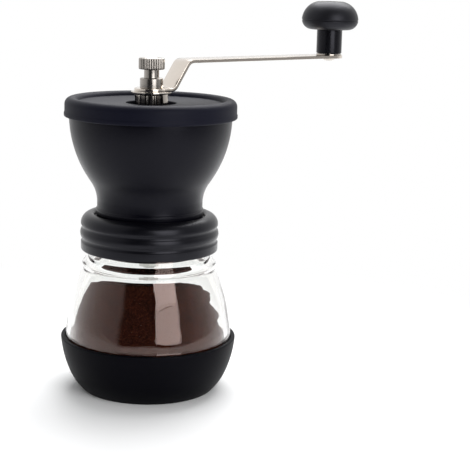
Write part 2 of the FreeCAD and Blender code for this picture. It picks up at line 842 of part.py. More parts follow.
# Inner burr: a ceramic cone with fine teeth below and leaning flutes above
edge_inside = size.burr_edge_radius - size.burr_running_gap
throat_inside = size.burr_throat_radius - size.burr_running_gap
inner_burr = turned("inner_burr", [
    (0.0, inner_foot),
    (edge_inside, inner_foot),
    (edge_inside, burr_edge),
    (throat_inside, burr_throat),
    (size.burr_cap_radius, inner_top),
    (0.0, inner_top),
])
core_corner = size.burr_core_flats / math.sqrt(3.0)
core_hole = primitive(inner_burr, "SubtractivePrism", upright((0.0, 0.0), inner_foot),
                      Circumradius=core_corner + size.holder_fit, Height=inner_top - inner_foot)
core_hole.Polygon = 6
tooth = tooth_cutter(inner_burr, (edge_inside, burr_edge), (throat_inside, burr_throat),
                     size.burr_tooth_depth, -size.burr_tooth_lean, True)
repeat(inner_burr, [tooth], size.burr_tooth_count)
flute = tooth_cutter(inner_burr, (throat_inside, burr_throat), (size.burr_cap_radius, inner_top),
                     size.burr_flute_depth, -size.burr_flute_lean, True)
repeat(inner_burr, [flute], size.burr_flute_count)

# Hexagonal core that keys the inner burr to the shaft
burr_core = new_body("burr_core")
core = primitive(burr_core, "AdditivePrism", upright((0.0, 0.0), inner_foot),
                 Circumradius=core_corner, Height=inner_top - inner_foot)
core.Polygon = 6
doc.recompute()
key_flats = size.shaft_flats + size.running_gap * 2
double_flat_hole(burr_core, shaft_bore, key_flats)

# Washers above and below the inner burr, and the nut that holds it
for label, foot in (("spring_washer", inner_top), ("burr_washer", burr_washer_foot)):
    turned(label, [
        (shaft_bore, foot),
        (size.washer_radius, foot),
        (size.washer_radius, foot + size.washer_thickness),
        (shaft_bore, foot + size.washer_thickness),
    ])
burr_nut = new_body("burr_nut")
nut = primitive(burr_nut, "AdditivePrism", upright((0.0, 0.0), burr_nut_foot),
                Circumradius=size.burr_nut_flats / math.sqrt(3.0), Height=size.burr_nut_height)
nut.Polygon = 6
doc.recompute()
sketch = new_sketch(burr_nut, "XY_Plane")
circle_outline(sketch, shaft_bore)
cut_through(burr_nut, sketch)

# Drive shaft: round in its bushes, with two flats at each end
base_top = arm_top + size.thumb_base_height
head_foot = base_top + size.thumb_neck_height
head_top = head_foot + size.thumb_head_height
shaft_top = head_top - size.thumb_cap
shaft_crown = shaft_top - size.plate_gap
drive_shaft = turned("drive_shaft", [
    (0.0, shaft_foot),
    (size.shaft_radius, shaft_foot),
    (size.shaft_radius, shaft_crown),
    (0.0, shaft_crown),
])
half_flats = size.shaft_flats / 2
for foot, top in ((shaft_foot, inner_top), (plate_under, shaft_crown)):
    for side in (-1, 1):
        sketch = new_sketch(drive_shaft, "XY_Plane", foot)
        closed_outline(sketch, [
            (-size.shaft_radius * 2, half_flats * side),
            (size.shaft_radius * 2, half_flats * side),
            (size.shaft_radius * 2, size.shaft_radius * 2 * side),
            (-size.shaft_radius * 2, size.shaft_radius * 2 * side),
        ])
        flat_cut = drive_shaft.newObject("PartDesign::Pocket", "Flat")
        flat_cut.Profile = sketch
        flat_cut.Reversed = True
        set_size(flat_cut, "Length", top - foot)
        doc.recompute()


def helix_edges(radius, pitch, turns, foot):
    """A helix about the axis as pairs of tangent arcs, a quarter turn each."""
    quarters = int(round(turns * 4))
    climb = pitch / (2 * math.pi)
    rise = math.hypot(radius, climb)

    def station(quarter):
        angle = quarter * math.pi / 2
        spot = FreeCAD.Vector(radius * math.cos(angle), radius * math.sin(angle), foot + climb * angle)
        heading = FreeCAD.Vector(-radius * math.sin(angle), radius * math.cos(angle), climb) * (1 / rise)
        return spot, heading

    def half_arc(start, corner, stop):
        chord = stop - start
        half = chord.Length / 2
        lean = math.acos(min(1.0, half / (corner - start).Length))
        centre = (start + stop) * 0.5
        outward = corner - centre
        outward.normalize()
        return Part.Arc(start, centre + outward * (half * math.tan(lean / 2)), stop).toShape()

    edges = []
    for quarter in range(quarters):
        start, leaving = station(quarter)
        stop, arriving = station(quarter + 1)
        chord = stop - start
        both = leaving + arriving
        square = 2 * (leaving.dot(arriving) - 1)
        linear = -2 * chord.dot(both)
        steady = chord.dot(chord)
        reach = (-linear - math.sqrt(linear * linear - 4 * square * steady)) / (2 * square)
        first = start + leaving * reach
        second = stop - arriving * reach
        joint = (first + second) * 0.5
        edges.append(half_arc(start, first, joint))
        edges.append(half_arc(joint, second, stop))
    return edges


# Burr spring: open coil round the shaft between the lower bush and the inner burr
wire = size.spring_wire_radius.value
spring_length = (lower_bush_foot - spring_foot).value - 2 * size.spring_play.value - 2 * wire
spring_pitch = spring_length / size.spring_turns.value
coil_foot = spring_foot.value + size.spring_play.value + wire
coil = helix_edges(size.spring_coil_radius.value, spring_pitch, size.spring_turns.value, coil_foot)
coil_path = Part.Wire(coil)
coil_start = coil[0].valueAt(coil[0].FirstParameter)
coil_heading = coil[0].tangentAt(coil[0].FirstParameter)
section = Part.Wire(Part.Circle(coil_start, coil_heading, wire).toShape())
burr_spring = doc.addObject("Part::Feature", "burr_spring")
burr_spring.Label = "burr_spring"
burr_spring.Shape = coil_path.makePipeShell([section], True, False)
spots = []
for edge in coil:
    spots += edge.discretize(SPRING_SPOTS)[:-1]
half_turn = len(spots) // int(2 * size.spring_turns.value)
least = min(
    spots[here].distanceToPoint(spots[there])
    for here in range(len(spots))
    for there in range(here + half_turn, len(spots))
)
print("burr_spring turns clear each other by", round(least - 2 * wire, 3), "mm")

# Adjusting nut: a notched wheel that sets the grind
notch_round = size.plate_gap
adjusting_nut = turned("adjusting_nut", [
    (shaft_bore, nut_seat),
    (size.adjuster_radius - notch_round, nut_seat),
    (size.adjuster_radius, nut_seat + notch_round),
    (size.adjuster_radius, nut_top - notch_round),
    (size.adjuster_radius - notch_round, nut_top),
    (shaft_bore, nut_top),
])
notch = primitive(adjusting_nut, "SubtractiveCylinder",
                  upright(polar(size.adjuster_radius, size.tab_angle), nut_seat),
                  Radius=size.adjuster_notch_radius, Height=size.adjuster_height)
repeat(adjusting_nut, [notch], size.adjuster_notch_count)

# Stop plate: a disc whose bent tab drops into one notch of the adjusting nut
stop_plate = turned("stop_plate", [
    (0.0, plate_under),
    (size.plate_radius, plate_under),
    (size.plate_radius, plate_top),
    (0.0, plate_top),
])
nib_width = size.adjuster_notch_radius * size.nib_width_share
nib_inner = size.adjuster_radius - size.adjuster_notch_radius * size.nib_reach_share
tab_inner = size.adjuster_radius + size.plate_gap
tab_foot = plate_top - size.tab_reach - size.plate_thickness
for inner, width in ((nib_inner, nib_width), (tab_inner, size.tab_width)):
    spin = upright((0.0, 0.0), tab_foot, size.tab_angle.value)
    corner = upright((inner, -width / 2), 0.0)
    primitive(stop_plate, "AdditiveBox", spin.multiply(corner),
              Length=size.plate_radius - inner, Width=width, Height=plate_top - tab_foot)
double_flat_hole(stop_plate, shaft_bore, key_flats)

# Crank arm: a flat strap, joggled up from the shaft and levelled out to the knob
half_strap = size.arm_thickness / 2
arm_low = plate_top + half_strap
arm_high = arm_low + size.arm_rise
arm_tip = arm_high + size.arm_tip_rise
bend_run = size.arm_high_bend - size.arm_low_bend
bend_length = (bend_run * bend_run + size.arm_rise * size.arm_rise).root()
mitre = half_strap * ((bend_length - bend_run) / size.arm_rise)
tip_radius = size.arm_tip_width / 2
arm_end = size.arm_reach + tip_radius
trim = size.arm_thickness
tip_start = size.arm_reach - size.arm_tip_flat
crank_arm = new_body("crank_arm")
sketch = new_sketch(crank_arm, "XZ_Plane")
low_under = (size.arm_low_bend + mitre, arm_low - half_strap)
high_under = (size.arm_high_bend + mitre, arm_high - half_strap)
high_over = (size.arm_high_bend - mitre, arm_high + half_strap)
low_over = (size.arm_low_bend - mitre, arm_low + half_strap)
closed_outline(sketch, [
    (-(size.arm_ring_radius + trim), arm_low - half_strap),
    low_under,
    high_under,
    (tip_start, arm_tip - half_strap),
    (arm_end + trim, arm_tip - half_strap),
    (arm_end + trim, arm_tip + half_strap),
    (tip_start, arm_tip + half_strap),
    high_over,
    low_over,
    (-(size.arm_ring_radius + trim), arm_low + half_strap),
])
strap = crank_arm.newObject("PartDesign::Pad", "Strap")
strap.Profile = sketch
strap.Midplane = True
set_size(strap, "Length", (size.arm_ring_radius + trim) * 2)
doc.recompute()


def round_bends(body, corners, radius):
    """Round the straight edges across the strap at the given X and Z corners."""
    names = []
    for index, edge in enumerate(body.Shape.Edges, start=1):
        ends = [vertex.Point for vertex in edge.Vertexes]
        for across, up in corners:
            near = [abs(end.x - across.value) + abs(end.z - up.value) < TOLERANCE for end in ends]
            if len(ends) == 2 and all(near):
                names.append(f"Edge{index}")
    dress_edges(body, "Fillet", names, "Radius", radius)


round_bends(crank_arm, [low_over, high_under], size.arm_bend_radius)
round_bends(crank_arm, [low_under, high_over], size.arm_bend_radius + size.arm_thickness)
half_root = size.arm_root_width / 2
root_start = (size.arm_ring_radius * size.arm_ring_radius - half_root * half_root).root()
sketch = new_sketch(crank_arm, "XY_Plane")
border = size.arm_ring_radius * 2
closed_outline(sketch, [
    (-border, -border),
    (arm_end + border, -border),
    (arm_end + border, border),
    (-border, border),
])
closed_outline(sketch, [
    (root_start, -half_root, (-size.arm_ring_radius, 0.0)),
    (size.arm_reach, -tip_radius),
    (size.arm_reach, tip_radius, (arm_end, 0.0)),
    (root_start, half_root),
])
cut_through(crank_arm, sketch)
double_flat_hole(crank_arm, shaft_bore, key_flats)
sketch = new_sketch(crank_arm, "XY_Plane")
circle_outline(sketch, size.pin_radius + size.running_gap, (size.arm_reach, 0.0))
cut_through(crank_arm, sketch)

# Thumb nut: turned base, slim neck and a knurled head, blind from below
edge_break = size.thumb_round / 2
head_bend = size.thumb_round * (1 - DIAGONAL)
thumb_nut = turned("thumb_nut", [
    (shaft_bore, arm_top),
    (size.thumb_base_radius, arm_top),
    (size.thumb_base_radius, base_top - edge_break),
    (size.thumb_base_radius - edge_break, base_top),
    (size.thumb_neck_radius, base_top),
    (size.thumb_neck_radius, head_foot),
    (size.thumb_head_radius - edge_break, head_foot),
    (size.thumb_head_radius, head_foot + edge_break),
    (size.thumb_head_radius, head_top - size.thumb_round),
    (size.thumb_head_radius - size.thumb_round, head_top,
     (size.thumb_head_radius - head_bend, head_top - head_bend)),
    (0.0, head_top),
    (0.0, shaft_top),
    (shaft_bore, shaft_top),
])
knurl = tooth_cutter(thumb_nut, (size.thumb_head_radius, head_foot), (size.thumb_head_radius, head_top),
                     size.knurl_depth, measure(0.0), True)
repeat(thumb_nut, [knurl], size.knurl_count)

# Knob: sleeve and mushroom head that spin on a riveted pin
tip_top = arm_tip + half_strap
tip_under = arm_tip - half_strap
washer_top = tip_top + size.knob_washer_thickness
sleeve_foot = washer_top + size.knob_play
knob_foot = sleeve_foot + size.sleeve_length
knob_top = knob_foot + size.knob_height
pin_bore = size.pin_radius + size.running_gap
spigot = pin_bore + size.sleeve_spigot_wall
spigot_top = knob_foot + size.sleeve_spigot
recess_floor = knob_top - size.knob_recess_depth
pin_seat = recess_floor + size.knob_play
belly_level = knob_foot + size.knob_belly
under_bend = (between(size.knob_under_radius, size.knob_radius, size.under_bend_run),
              between(knob_foot, belly_level, size.under_bend_rise))
crown_bend = (between(size.knob_crown_radius, size.knob_radius, size.crown_bend_run),
              between(belly_level, knob_top, size.crown_bend_rise))
knob_pin = turned("knob_pin", [
    (0.0, tip_under - size.rivet_height),
    (size.rivet_radius, tip_under,
     (size.rivet_radius * size.rivet_bend_run, tip_under - size.rivet_height * size.rivet_bend_rise)),
    (size.pin_radius, tip_under),
    (size.pin_radius, pin_seat),
    (size.pin_head_radius, pin_seat),
    (size.pin_head_radius, pin_seat + size.pin_head_height),
    (0.0, pin_seat + size.pin_head_height),
])
knob_washer = turned("knob_washer", [
    (pin_bore, tip_top),
    (size.sleeve_radius, tip_top),
    (size.sleeve_radius, washer_top),
    (pin_bore, washer_top),
])
knob_sleeve = turned("knob_sleeve", [
    (pin_bore, sleeve_foot),
    (size.sleeve_radius, sleeve_foot),
    (size.sleeve_radius, knob_foot),
    (spigot, knob_foot),
    (spigot, spigot_top),
    (pin_bore, spigot_top),
])
knob_head = turned("knob_head", [
    (spigot + size.running_gap, knob_foot),
    (size.knob_under_radius, knob_foot),
    (size.knob_radius, belly_level, under_bend),
    (size.knob_crown_radius, knob_top, crown_bend),
    (size.knob_recess_radius, knob_top),
    (size.knob_recess_radius, recess_floor),
    (pin_bore, recess_floor),
    (pin_bore, spigot_top + size.running_gap),
    (spigot + size.running_gap, spigot_top + size.running_gap),
])
bevel_rings(knob_head, [(size.knob_recess_radius, knob_top)], size.knob_recess_bevel)
for piece in (knob_pin, knob_washer, knob_sleeve, knob_head):
    set_size(piece, "Placement.Base.x", size.arm_reach)

NODES = (
    "base_boot", "glass_jar", "jar_seal", "collar", "body_screws", "hopper", "hopper_lid",
    "shaft_support", "upper_bush", "lower_bush", "drive_shaft",
    "burr_holder", "outer_burr", "inner_burr", "burr_core", "spring_washer", "burr_spring",
    "burr_washer", "burr_nut", "adjusting_nut", "stop_plate", "crank_arm", "thumb_nut",
    "knob_pin", "knob_washer", "knob_sleeve", "knob_head",
)

doc.recompute()
for item in doc.Objects:
    if "Invalid" in item.State or "Error" in item.State:
        raise RuntimeError(f"{item.Name} failed: {item.State}")
shapes = {}
for label in NODES:
    shape = doc.getObjectsByLabel(label)[0].Shape
    if shape.isNull() or not shape.isValid():
        raise RuntimeError(f"{label} is not a valid solid")
    shapes[label] = shape
os.makedirs("parts", exist_ok=True)
for label, shape in shapes.items():
    shape.exportStep(f"parts/{label}.step")
    print(label, len(shape.Solids), round(shape.Volume, 1), "mm3")
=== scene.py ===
import json
import math

import bmesh
import bpy
import numpy as np
from mathutils import Matrix, Vector


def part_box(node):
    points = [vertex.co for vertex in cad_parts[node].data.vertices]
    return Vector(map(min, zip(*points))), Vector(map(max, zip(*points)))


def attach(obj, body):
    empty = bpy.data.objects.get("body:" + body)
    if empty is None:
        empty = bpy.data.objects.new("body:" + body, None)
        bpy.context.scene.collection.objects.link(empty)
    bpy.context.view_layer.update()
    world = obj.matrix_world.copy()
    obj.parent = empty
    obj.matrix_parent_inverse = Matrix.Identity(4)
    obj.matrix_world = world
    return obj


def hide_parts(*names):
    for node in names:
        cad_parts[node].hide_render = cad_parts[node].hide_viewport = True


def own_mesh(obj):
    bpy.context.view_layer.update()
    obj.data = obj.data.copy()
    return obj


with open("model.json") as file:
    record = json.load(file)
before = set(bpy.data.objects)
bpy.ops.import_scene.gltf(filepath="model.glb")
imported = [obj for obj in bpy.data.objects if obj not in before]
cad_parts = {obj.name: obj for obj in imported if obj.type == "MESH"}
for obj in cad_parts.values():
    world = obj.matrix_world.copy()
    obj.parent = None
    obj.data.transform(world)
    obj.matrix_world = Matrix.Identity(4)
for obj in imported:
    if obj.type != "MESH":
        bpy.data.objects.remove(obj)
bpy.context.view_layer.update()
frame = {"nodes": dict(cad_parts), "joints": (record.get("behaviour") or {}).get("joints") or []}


# Silicone boot: a soft black cup moulded in one piece and pulled over the jar's foot.
# Its heel is rounded, its rim is thin enough to grip the glass, and its skin is matt.
MM = 0.001
boot_rim = 46.5 * MM
boot_wall = 2.2 * MM
boot_floor = 2.8 * MM
boot_foot = 35.0 * MM
boot_bend = (39.1 * MM, 4.7 * MM)
boot_inner_bend = (38.0 * MM, 6.1 * MM)
boot_heel = (42.2 * MM, 10.4 * MM)
boot_flank = (45.35 * MM, 20.2 * MM)
boot_recess = 0.5 * MM
foot_ring = 6.0 * MM
rim_round = 0.8 * MM
boot_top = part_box("base_boot")[1].z


def arc(start, through, stop, steps=14):
    """Points on the circle through three points: its centre is as far from each of them,
    and the angle runs evenly from the first to the last by way of the middle one."""
    a, b, c = (np.array(point, float) for point in (start, through, stop))
    centre = np.linalg.solve(2 * np.array([b - a, c - a]), [b @ b - a @ a, c @ c - a @ a])
    first, middle, last = (math.atan2(*(point - centre)[::-1]) for point in (a, b, c))
    turn = (last - first) % math.tau
    if (middle - first) % math.tau > turn:
        turn -= math.tau
    angle = first + turn * np.linspace(0, 1, steps)
    return centre + np.linalg.norm(a - centre) * np.column_stack([np.cos(angle), np.sin(angle)])


def soften(corners, closed=True, steps=6):
    """Round an outline whose corners are (x, y, reach): from reach before a corner p to reach
    after it, the line is the curve (1 - t)^2 a + 2 t (1 - t) p + t^2 b."""
    corners = np.array(corners, float)
    point = corners[:, :2]
    reach = corners[:, 2:3].copy()
    if not closed:
        reach[[0, -1]] = 0
    before = np.roll(point, 1, 0) - point
    after = np.roll(point, -1, 0) - point
    length_before = np.linalg.norm(before, axis=1, keepdims=True)
    length_after = np.linalg.norm(after, axis=1, keepdims=True)
    reach = np.minimum(reach, 0.49 * np.minimum(length_before, length_after))
    a = point + before / length_before * reach
    b = point + after / length_after * reach
    t = np.linspace(0, 1, steps)[None, :, None]
    curve = (1 - t) ** 2 * a[:, None] + 2 * t * (1 - t) * point[:, None] + t**2 * b[:, None]
    curve = curve.reshape(-1, 2)
    step = np.linalg.norm(curve - np.roll(curve, 1, 0), axis=1)
    return curve[(step > 1e-7) | (np.arange(len(curve)) == 0)]


def plain(points):
    """Points of an outline with no rounding of their own."""
    return np.column_stack([points, np.zeros(len(points))])


def lathe(outline, sides=144, centre=(0.0, 0.0)):
    """Carry a radius and height outline round an upright axis: (r, z) becomes the circle
    (r cos a, r sin a, z) about the centre."""
    angle = np.linspace(0, math.tau, sides, endpoint=False)
    radius = outline[:, :1]
    return np.stack([
        centre[0] + radius * np.cos(angle),
        centre[1] + radius * np.sin(angle),
        np.broadcast_to(outline[:, 1:2], (len(outline), sides)),
    ], axis=-1)


def add_piece(name, grids, finish, body, slot, *nodes):
    """One mesh from grids of points, each joined to its neighbours along and round, with
    doubles merged at seams and poles, then given its finish, hung under its body's empty,
    and the nodes it replaces hidden. The slot is not used."""
    points = []
    faces = []
    start = 0
    for grid in grids:
        rows, columns = grid.shape[:2]
        index = start + np.arange(rows * columns).reshape(rows, columns)
        along = np.roll(index, -1, 0)
        square = np.stack([index, np.roll(index, -1, 1), np.roll(along, -1, 1), along], axis=-1)
        points.append(grid.reshape(-1, 3))
        faces.append(square.reshape(-1, 4))
        start += rows * columns
    mesh = bpy.data.meshes.new(name)
    mesh.from_pydata(np.concatenate(points).tolist(), [], np.concatenate(faces).tolist())
    shape = bmesh.new()
    shape.from_mesh(mesh)
    bmesh.ops.remove_doubles(shape, verts=shape.verts, dist=1e-7)
    bmesh.ops.dissolve_degenerate(shape, edges=shape.edges, dist=1e-7)
    bmesh.ops.recalc_face_normals(shape, faces=shape.faces)
    shape.to_mesh(mesh)
    shape.free()
    mesh.shade_smooth()
    mesh.set_sharp_from_angle(angle=math.radians(38))
    mesh.materials.append(finish)
    piece = bpy.data.objects.new(name, mesh)
    bpy.context.scene.collection.objects.link(piece)
    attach(piece, body)
    if nodes:
        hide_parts(*nodes)
    return piece


class Wire:
    """A socket among one material's nodes: arithmetic on wires adds Math nodes."""

    def __init__(self, tree, socket=None):
        self.tree = tree
        self.socket = socket

    def connect(self, made, sockets):
        """Give a node's inputs, by name or number, their values or wires."""
        for name, value in sockets.items():
            if isinstance(value, Wire):
                self.tree.links.new(value.socket, made.inputs[name])
            else:
                made.inputs[name].default_value = value

    def node(self, kind, sockets=None, out=0, stops=(), **settings):
        """Add any node: its settings first, then its inputs, and give back one output."""
        made = self.tree.nodes.new("ShaderNode" + kind)
        for name, value in settings.items():
            setattr(made, name, value)
        for number, (place, colour) in enumerate(stops):
            ramp = made.color_ramp.elements
            stop = ramp[number] if number < 2 else ramp.new(place)
            stop.position = place
            stop.color = colour
        self.connect(made, sockets or {})
        return Wire(self.tree, made.outputs[out])

    def surface(self, sockets):
        """Set the inputs of the material's Principled surface."""
        self.connect(self.tree.nodes["Principled BSDF"], sockets)

    def maths(self, operation, first, second):
        """A Math node on two values or wires."""
        return self.node("Math", {0: first, 1: second}, operation=operation)

    def mix(self, low, high):
        """The colour between two colours at this wire's value."""
        return self.node("Mix", {0: self, 6: low, 7: high}, out=2, data_type="RGBA")

    def __add__(self, other):
        return self.maths("ADD", self, other)

    def __rsub__(self, other):
        return self.maths("SUBTRACT", other, self)

    def __mul__(self, other):
        return self.maths("MULTIPLY", self, other)

    __radd__ = __add__
    __rmul__ = __mul__


def new_finish(name):
    """A material and the wire that its nodes are added from."""
    made = bpy.data.materials.new(name)
    made.use_nodes = True
    return made, Wire(made.node_tree)


def noise(paint, scale, detail=2.0, roughness=0.5, squeeze=(1.0, 1.0, 1.0)):
    """Soft random values over a piece's own coordinates, at features of about 1 / scale metres."""
    place = paint.node("TexCoord", out="Object")
    place = paint.node("Mapping", {"Vector": place, "Scale": squeeze})
    return paint.node("TexNoise", {
        "Vector": place, "Scale": scale, "Detail": detail, "Roughness": roughness,
    })


def moulded_finish(name, dark, pale, roughness, shine, grain, depth):
    """Moulded plastic or rubber: cloudy colour from dark to pale, uneven gloss and a fine grain."""
    made, paint = new_finish(name)
    cloud = noise(paint, 45.0, 3.0)
    speck = noise(paint, grain, 2.0, 0.6)
    bump = paint.node("Bump", {"Height": speck, "Strength": 0.35, "Distance": depth}, out="Normal")
    paint.surface({
        "Base Color": cloud.mix(dark, pale),
        "Roughness": roughness - 0.06 + 0.08 * cloud + 0.06 * speck,
        "Specular IOR Level": shine,
        "Specular Tint": (0.88, 0.88, 1.0, 1),
        "Normal": bump,
    })
    return made


boot_silicone = moulded_finish("boot_silicone", (0.0009, 0.0009, 0.0018, 1), (0.0016, 0.0016, 0.0028, 1),
                               0.46, 0.05, 2600.0, 0.00006)
boot_inner_heel = (boot_heel[0] - boot_wall, boot_heel[1])
boot_inner_flank = (boot_flank[0] - boot_wall, boot_flank[1])
boot_outline = soften([
    (0.0, boot_recess, 0.0),
    (boot_foot - foot_ring - 1.0 * MM, boot_recess, 0.3 * MM),
    (boot_foot - foot_ring, 0.0, 0.3 * MM),
    *plain(arc((boot_foot, 0.0), boot_bend, boot_heel)),
    *plain(arc(boot_heel, boot_flank, (boot_rim - 0.02 * MM, boot_top - 1.0 * MM)))[1:],
    (boot_rim, boot_top, rim_round),
    (boot_rim - boot_wall, boot_top, rim_round),
    *plain(arc((boot_rim - boot_wall - 0.02 * MM, boot_top - 1.0 * MM), boot_inner_flank, boot_inner_heel)),
    *plain(arc(boot_inner_heel, boot_inner_bend, (boot_foot, boot_floor)))[1:],
    (0.0, boot_floor, 0.0),
])
add_piece("boot", [lathe(boot_outline)], boot_silicone, "jar", "silicone", "base_boot")


# Glass jar: pressed clear glass with a thick floor and a rolled lip on its mouth.
# The neck carries one and a half turns of a round glass thread and a ring below it.
jar_foot = boot_floor
jar_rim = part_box("glass_jar")[1].z
jar_fit = 0.15 * MM
jar_wall = 3.0 * MM
jar_floor = 7.4 * MM
jar_belly = boot_rim - boot_wall - jar_fit
jar_neck = 31.2 * MM
jar_mouth = jar_neck - jar_wall
jar_rest = 30.0 * MM
jar_bend = (boot_inner_bend[0] - jar_fit, boot_inner_bend[1])
jar_heel = (boot_inner_heel[0] - jar_fit, boot_inner_heel[1])
jar_flank = (boot_inner_flank[0] - jar_fit, boot_inner_flank[1])
jar_shoulder = (32.2 * MM, 71.0 * MM)
jar_side = (40.575 * MM, 49.75 * MM)
jar_sweep = (31.45 * MM, 73.0 * MM)
neck_foot = 75.0 * MM
mouth_round = 1.2 * MM
mouth_bend = 0.35 * MM
inner_shoulder = (jar_shoulder[0] - jar_wall, jar_shoulder[1])
inner_side = (jar_side[0] - jar_wall, jar_side[1])
inner_sweep = (jar_sweep[0] - jar_wall, jar_sweep[1])
inner_belly = (jar_belly - jar_wall, boot_top)
inner_floor = 29.15 * MM
inner_heel = (38.75 * MM, 15.0 * MM)
thread_pitch = 6.0 * MM
thread_rise = 1.5 * MM
thread_half = 1.5 * MM
thread_start = 77.4 * MM
thread_turns = 1.5
neck_rows = 44
ring_level = 68.4 * MM
ring_rise = 1.8 * MM
ring_half = 3.1 * MM


def thread_bead(height, turn):
    """How far the thread stands out: a half cosine across each pass of the helix, which
    fades over the first and last eighth of a turn."""
    rise = np.zeros(np.broadcast(height, turn).shape)
    for passed in range(math.ceil(thread_turns)):
        along = turn + passed
        away = np.clip(np.abs(height - thread_start - thread_pitch * along) / thread_half, 0, 1)
        fade = np.clip(8 * np.minimum(along, thread_turns - along), 0, 1)
        rise = np.maximum(rise, thread_rise * np.cos(away * math.pi / 2) ** 1.2 * fade)
    return rise


jar_outer = np.concatenate([
    [(0.0, jar_foot + 0.8 * MM), (24.0 * MM, jar_foot + 0.6 * MM)],
    arc((jar_rest, jar_foot), jar_bend, jar_heel, 16),
    arc(jar_heel, jar_flank, (jar_belly, boot_top), 14)[1:],
    arc((jar_belly, boot_top), jar_side, jar_shoulder, 36)[1:],
    arc(jar_shoulder, jar_sweep, (jar_neck, neck_foot), 24)[1:],
    np.column_stack([
        np.full(neck_rows, jar_neck),
        np.linspace(neck_foot, jar_rim - mouth_round, neck_rows),
    ])[1:],
    arc((jar_neck, jar_rim - mouth_round), (jar_neck - mouth_bend, jar_rim - mouth_bend),
        (jar_neck - mouth_round, jar_rim), 6)[1:],
])
jar_inner = np.concatenate([
    arc((jar_mouth + mouth_round, jar_rim), (jar_mouth + mouth_bend, jar_rim - mouth_bend),
        (jar_mouth, jar_rim - mouth_round), 6),
    arc((jar_mouth, neck_foot), inner_sweep, inner_shoulder, 10),
    arc(inner_shoulder, inner_side, inner_belly, 36)[1:],
    arc(inner_belly, inner_heel, (inner_floor, jar_floor), 20)[1:],
    [(14.0 * MM, jar_floor - 0.2 * MM), (0.0, jar_floor - 0.2 * MM)],
])
jar_grid = lathe(np.concatenate([jar_outer, jar_inner]), 192)
outer_rows = len(jar_outer)
radius = np.linalg.norm(jar_grid[:outer_rows, :, :2], axis=-1)
turn = np.linspace(0, 1, jar_grid.shape[1], endpoint=False)[None, :]
height = jar_grid[:outer_rows, :, 2]
ring_away = np.clip(np.abs(height - ring_level) / ring_half, 0, 1)
raised = thread_bead(height, turn) + ring_rise * np.cos(ring_away * math.pi / 2) ** 1.5
jar_grid[:outer_rows, :, :2] *= (1 + raised / np.maximum(radius, MM))[..., None]

clear_glass, paint = new_finish("clear_glass")
ripple = noise(paint, 60.0, 1.0, 0.4)
paint.surface({
    "Base Color": (0.99, 0.985, 0.97, 1),
    "Roughness": 0.015 * ripple,
    "IOR": 1.5,
    "Specular Tint": (1.0, 0.76, 0.7, 1),
    "Transmission Weight": 1.0,
    "Normal": paint.node("Bump", {"Height": ripple, "Strength": 0.3, "Distance": 0.001}, out="Normal"),
})
add_piece("jar", [jar_grid], clear_glass, "jar", "clear_glass", "glass_jar")


# Ground coffee: the fresh grind lies heaped in the jar to just below its shoulder.
# It has slumped away from the glass in steps on one side, and its face is rough and loose.
coffee_gap = 0.35 * MM
coffee_low = jar_floor + 0.3 * MM
coffee_top = 55.4 * MM
coffee_belly = (inner_belly[0] - coffee_gap, boot_top)
coffee_side = (38.2 * MM, coffee_top - 15.5 * MM)
coffee_shoulder = (31.6 * MM, coffee_top - 1.5 * MM)
coffee_edge = 30.8 * MM
coffee_face = 29.5 * MM
coffee_bank = 0.2
bank_foot = 40.0 * MM
slump_side = math.radians(-30.5)
slump_depth = 3.4 * MM
lump_size = 0.55 * MM
lump_limit = 0.2 * MM
grain_size = 0.22 * MM
coffee_outline = soften([
    (0.0, coffee_low, 0.0),
    *plain(arc((inner_floor - coffee_gap, coffee_low), (inner_heel[0] - coffee_gap, inner_heel[1]),
               coffee_belly, 40)),
    *plain(arc(coffee_belly, coffee_side, coffee_shoulder, 60))[1:],
    (coffee_edge, coffee_top, 1.0 * MM),
    *plain(np.column_stack([np.linspace(coffee_face, 0.0, 40), np.full(40, coffee_top)])),
])
coffee_grid = lathe(coffee_outline, 360)
angle = np.linspace(0, math.tau, coffee_grid.shape[1], endpoint=False)
seeded = np.random.default_rng(11)
lumps = np.zeros(coffee_grid.shape[:2])
for wave in range(9):
    across = seeded.integers(3, 30)
    upward = seeded.uniform(120, 900)
    lumps += np.sin(across * angle + upward * coffee_grid[..., 2] + seeded.uniform(0, math.tau)) / 9
lumps = lump_size * lumps + grain_size * seeded.uniform(-1, 1, lumps.shape)
radius = np.linalg.norm(coffee_grid[..., :2], axis=-1)
height = coffee_grid[..., 2]
slumped = np.clip(np.cos(angle - slump_side), 0, 1) ** 4 * np.clip(height / coffee_top, 0.15, 1)
steps = 0.42 * np.sin(620 * height + 3 * angle) + 0.26 * np.sin(1500 * height - 5 * angle)
inward = np.minimum(lumps, lump_limit) - slump_depth * slumped * np.clip(0.9 + steps, 0, None)
banked = np.clip((height - bank_foot) / (coffee_top - bank_foot), 0, 1)
frontward = coffee_grid[..., 0] * math.sin(slump_side) - coffee_grid[..., 1] * math.cos(slump_side)
coffee_grid[..., :2] *= (1 + inward * (radius > 20 * MM) / np.maximum(radius, MM))[..., None]
coffee_grid[..., 2] += coffee_bank * banked * frontward + lumps * (banked > 0.99) * (radius > 0.5 * MM)

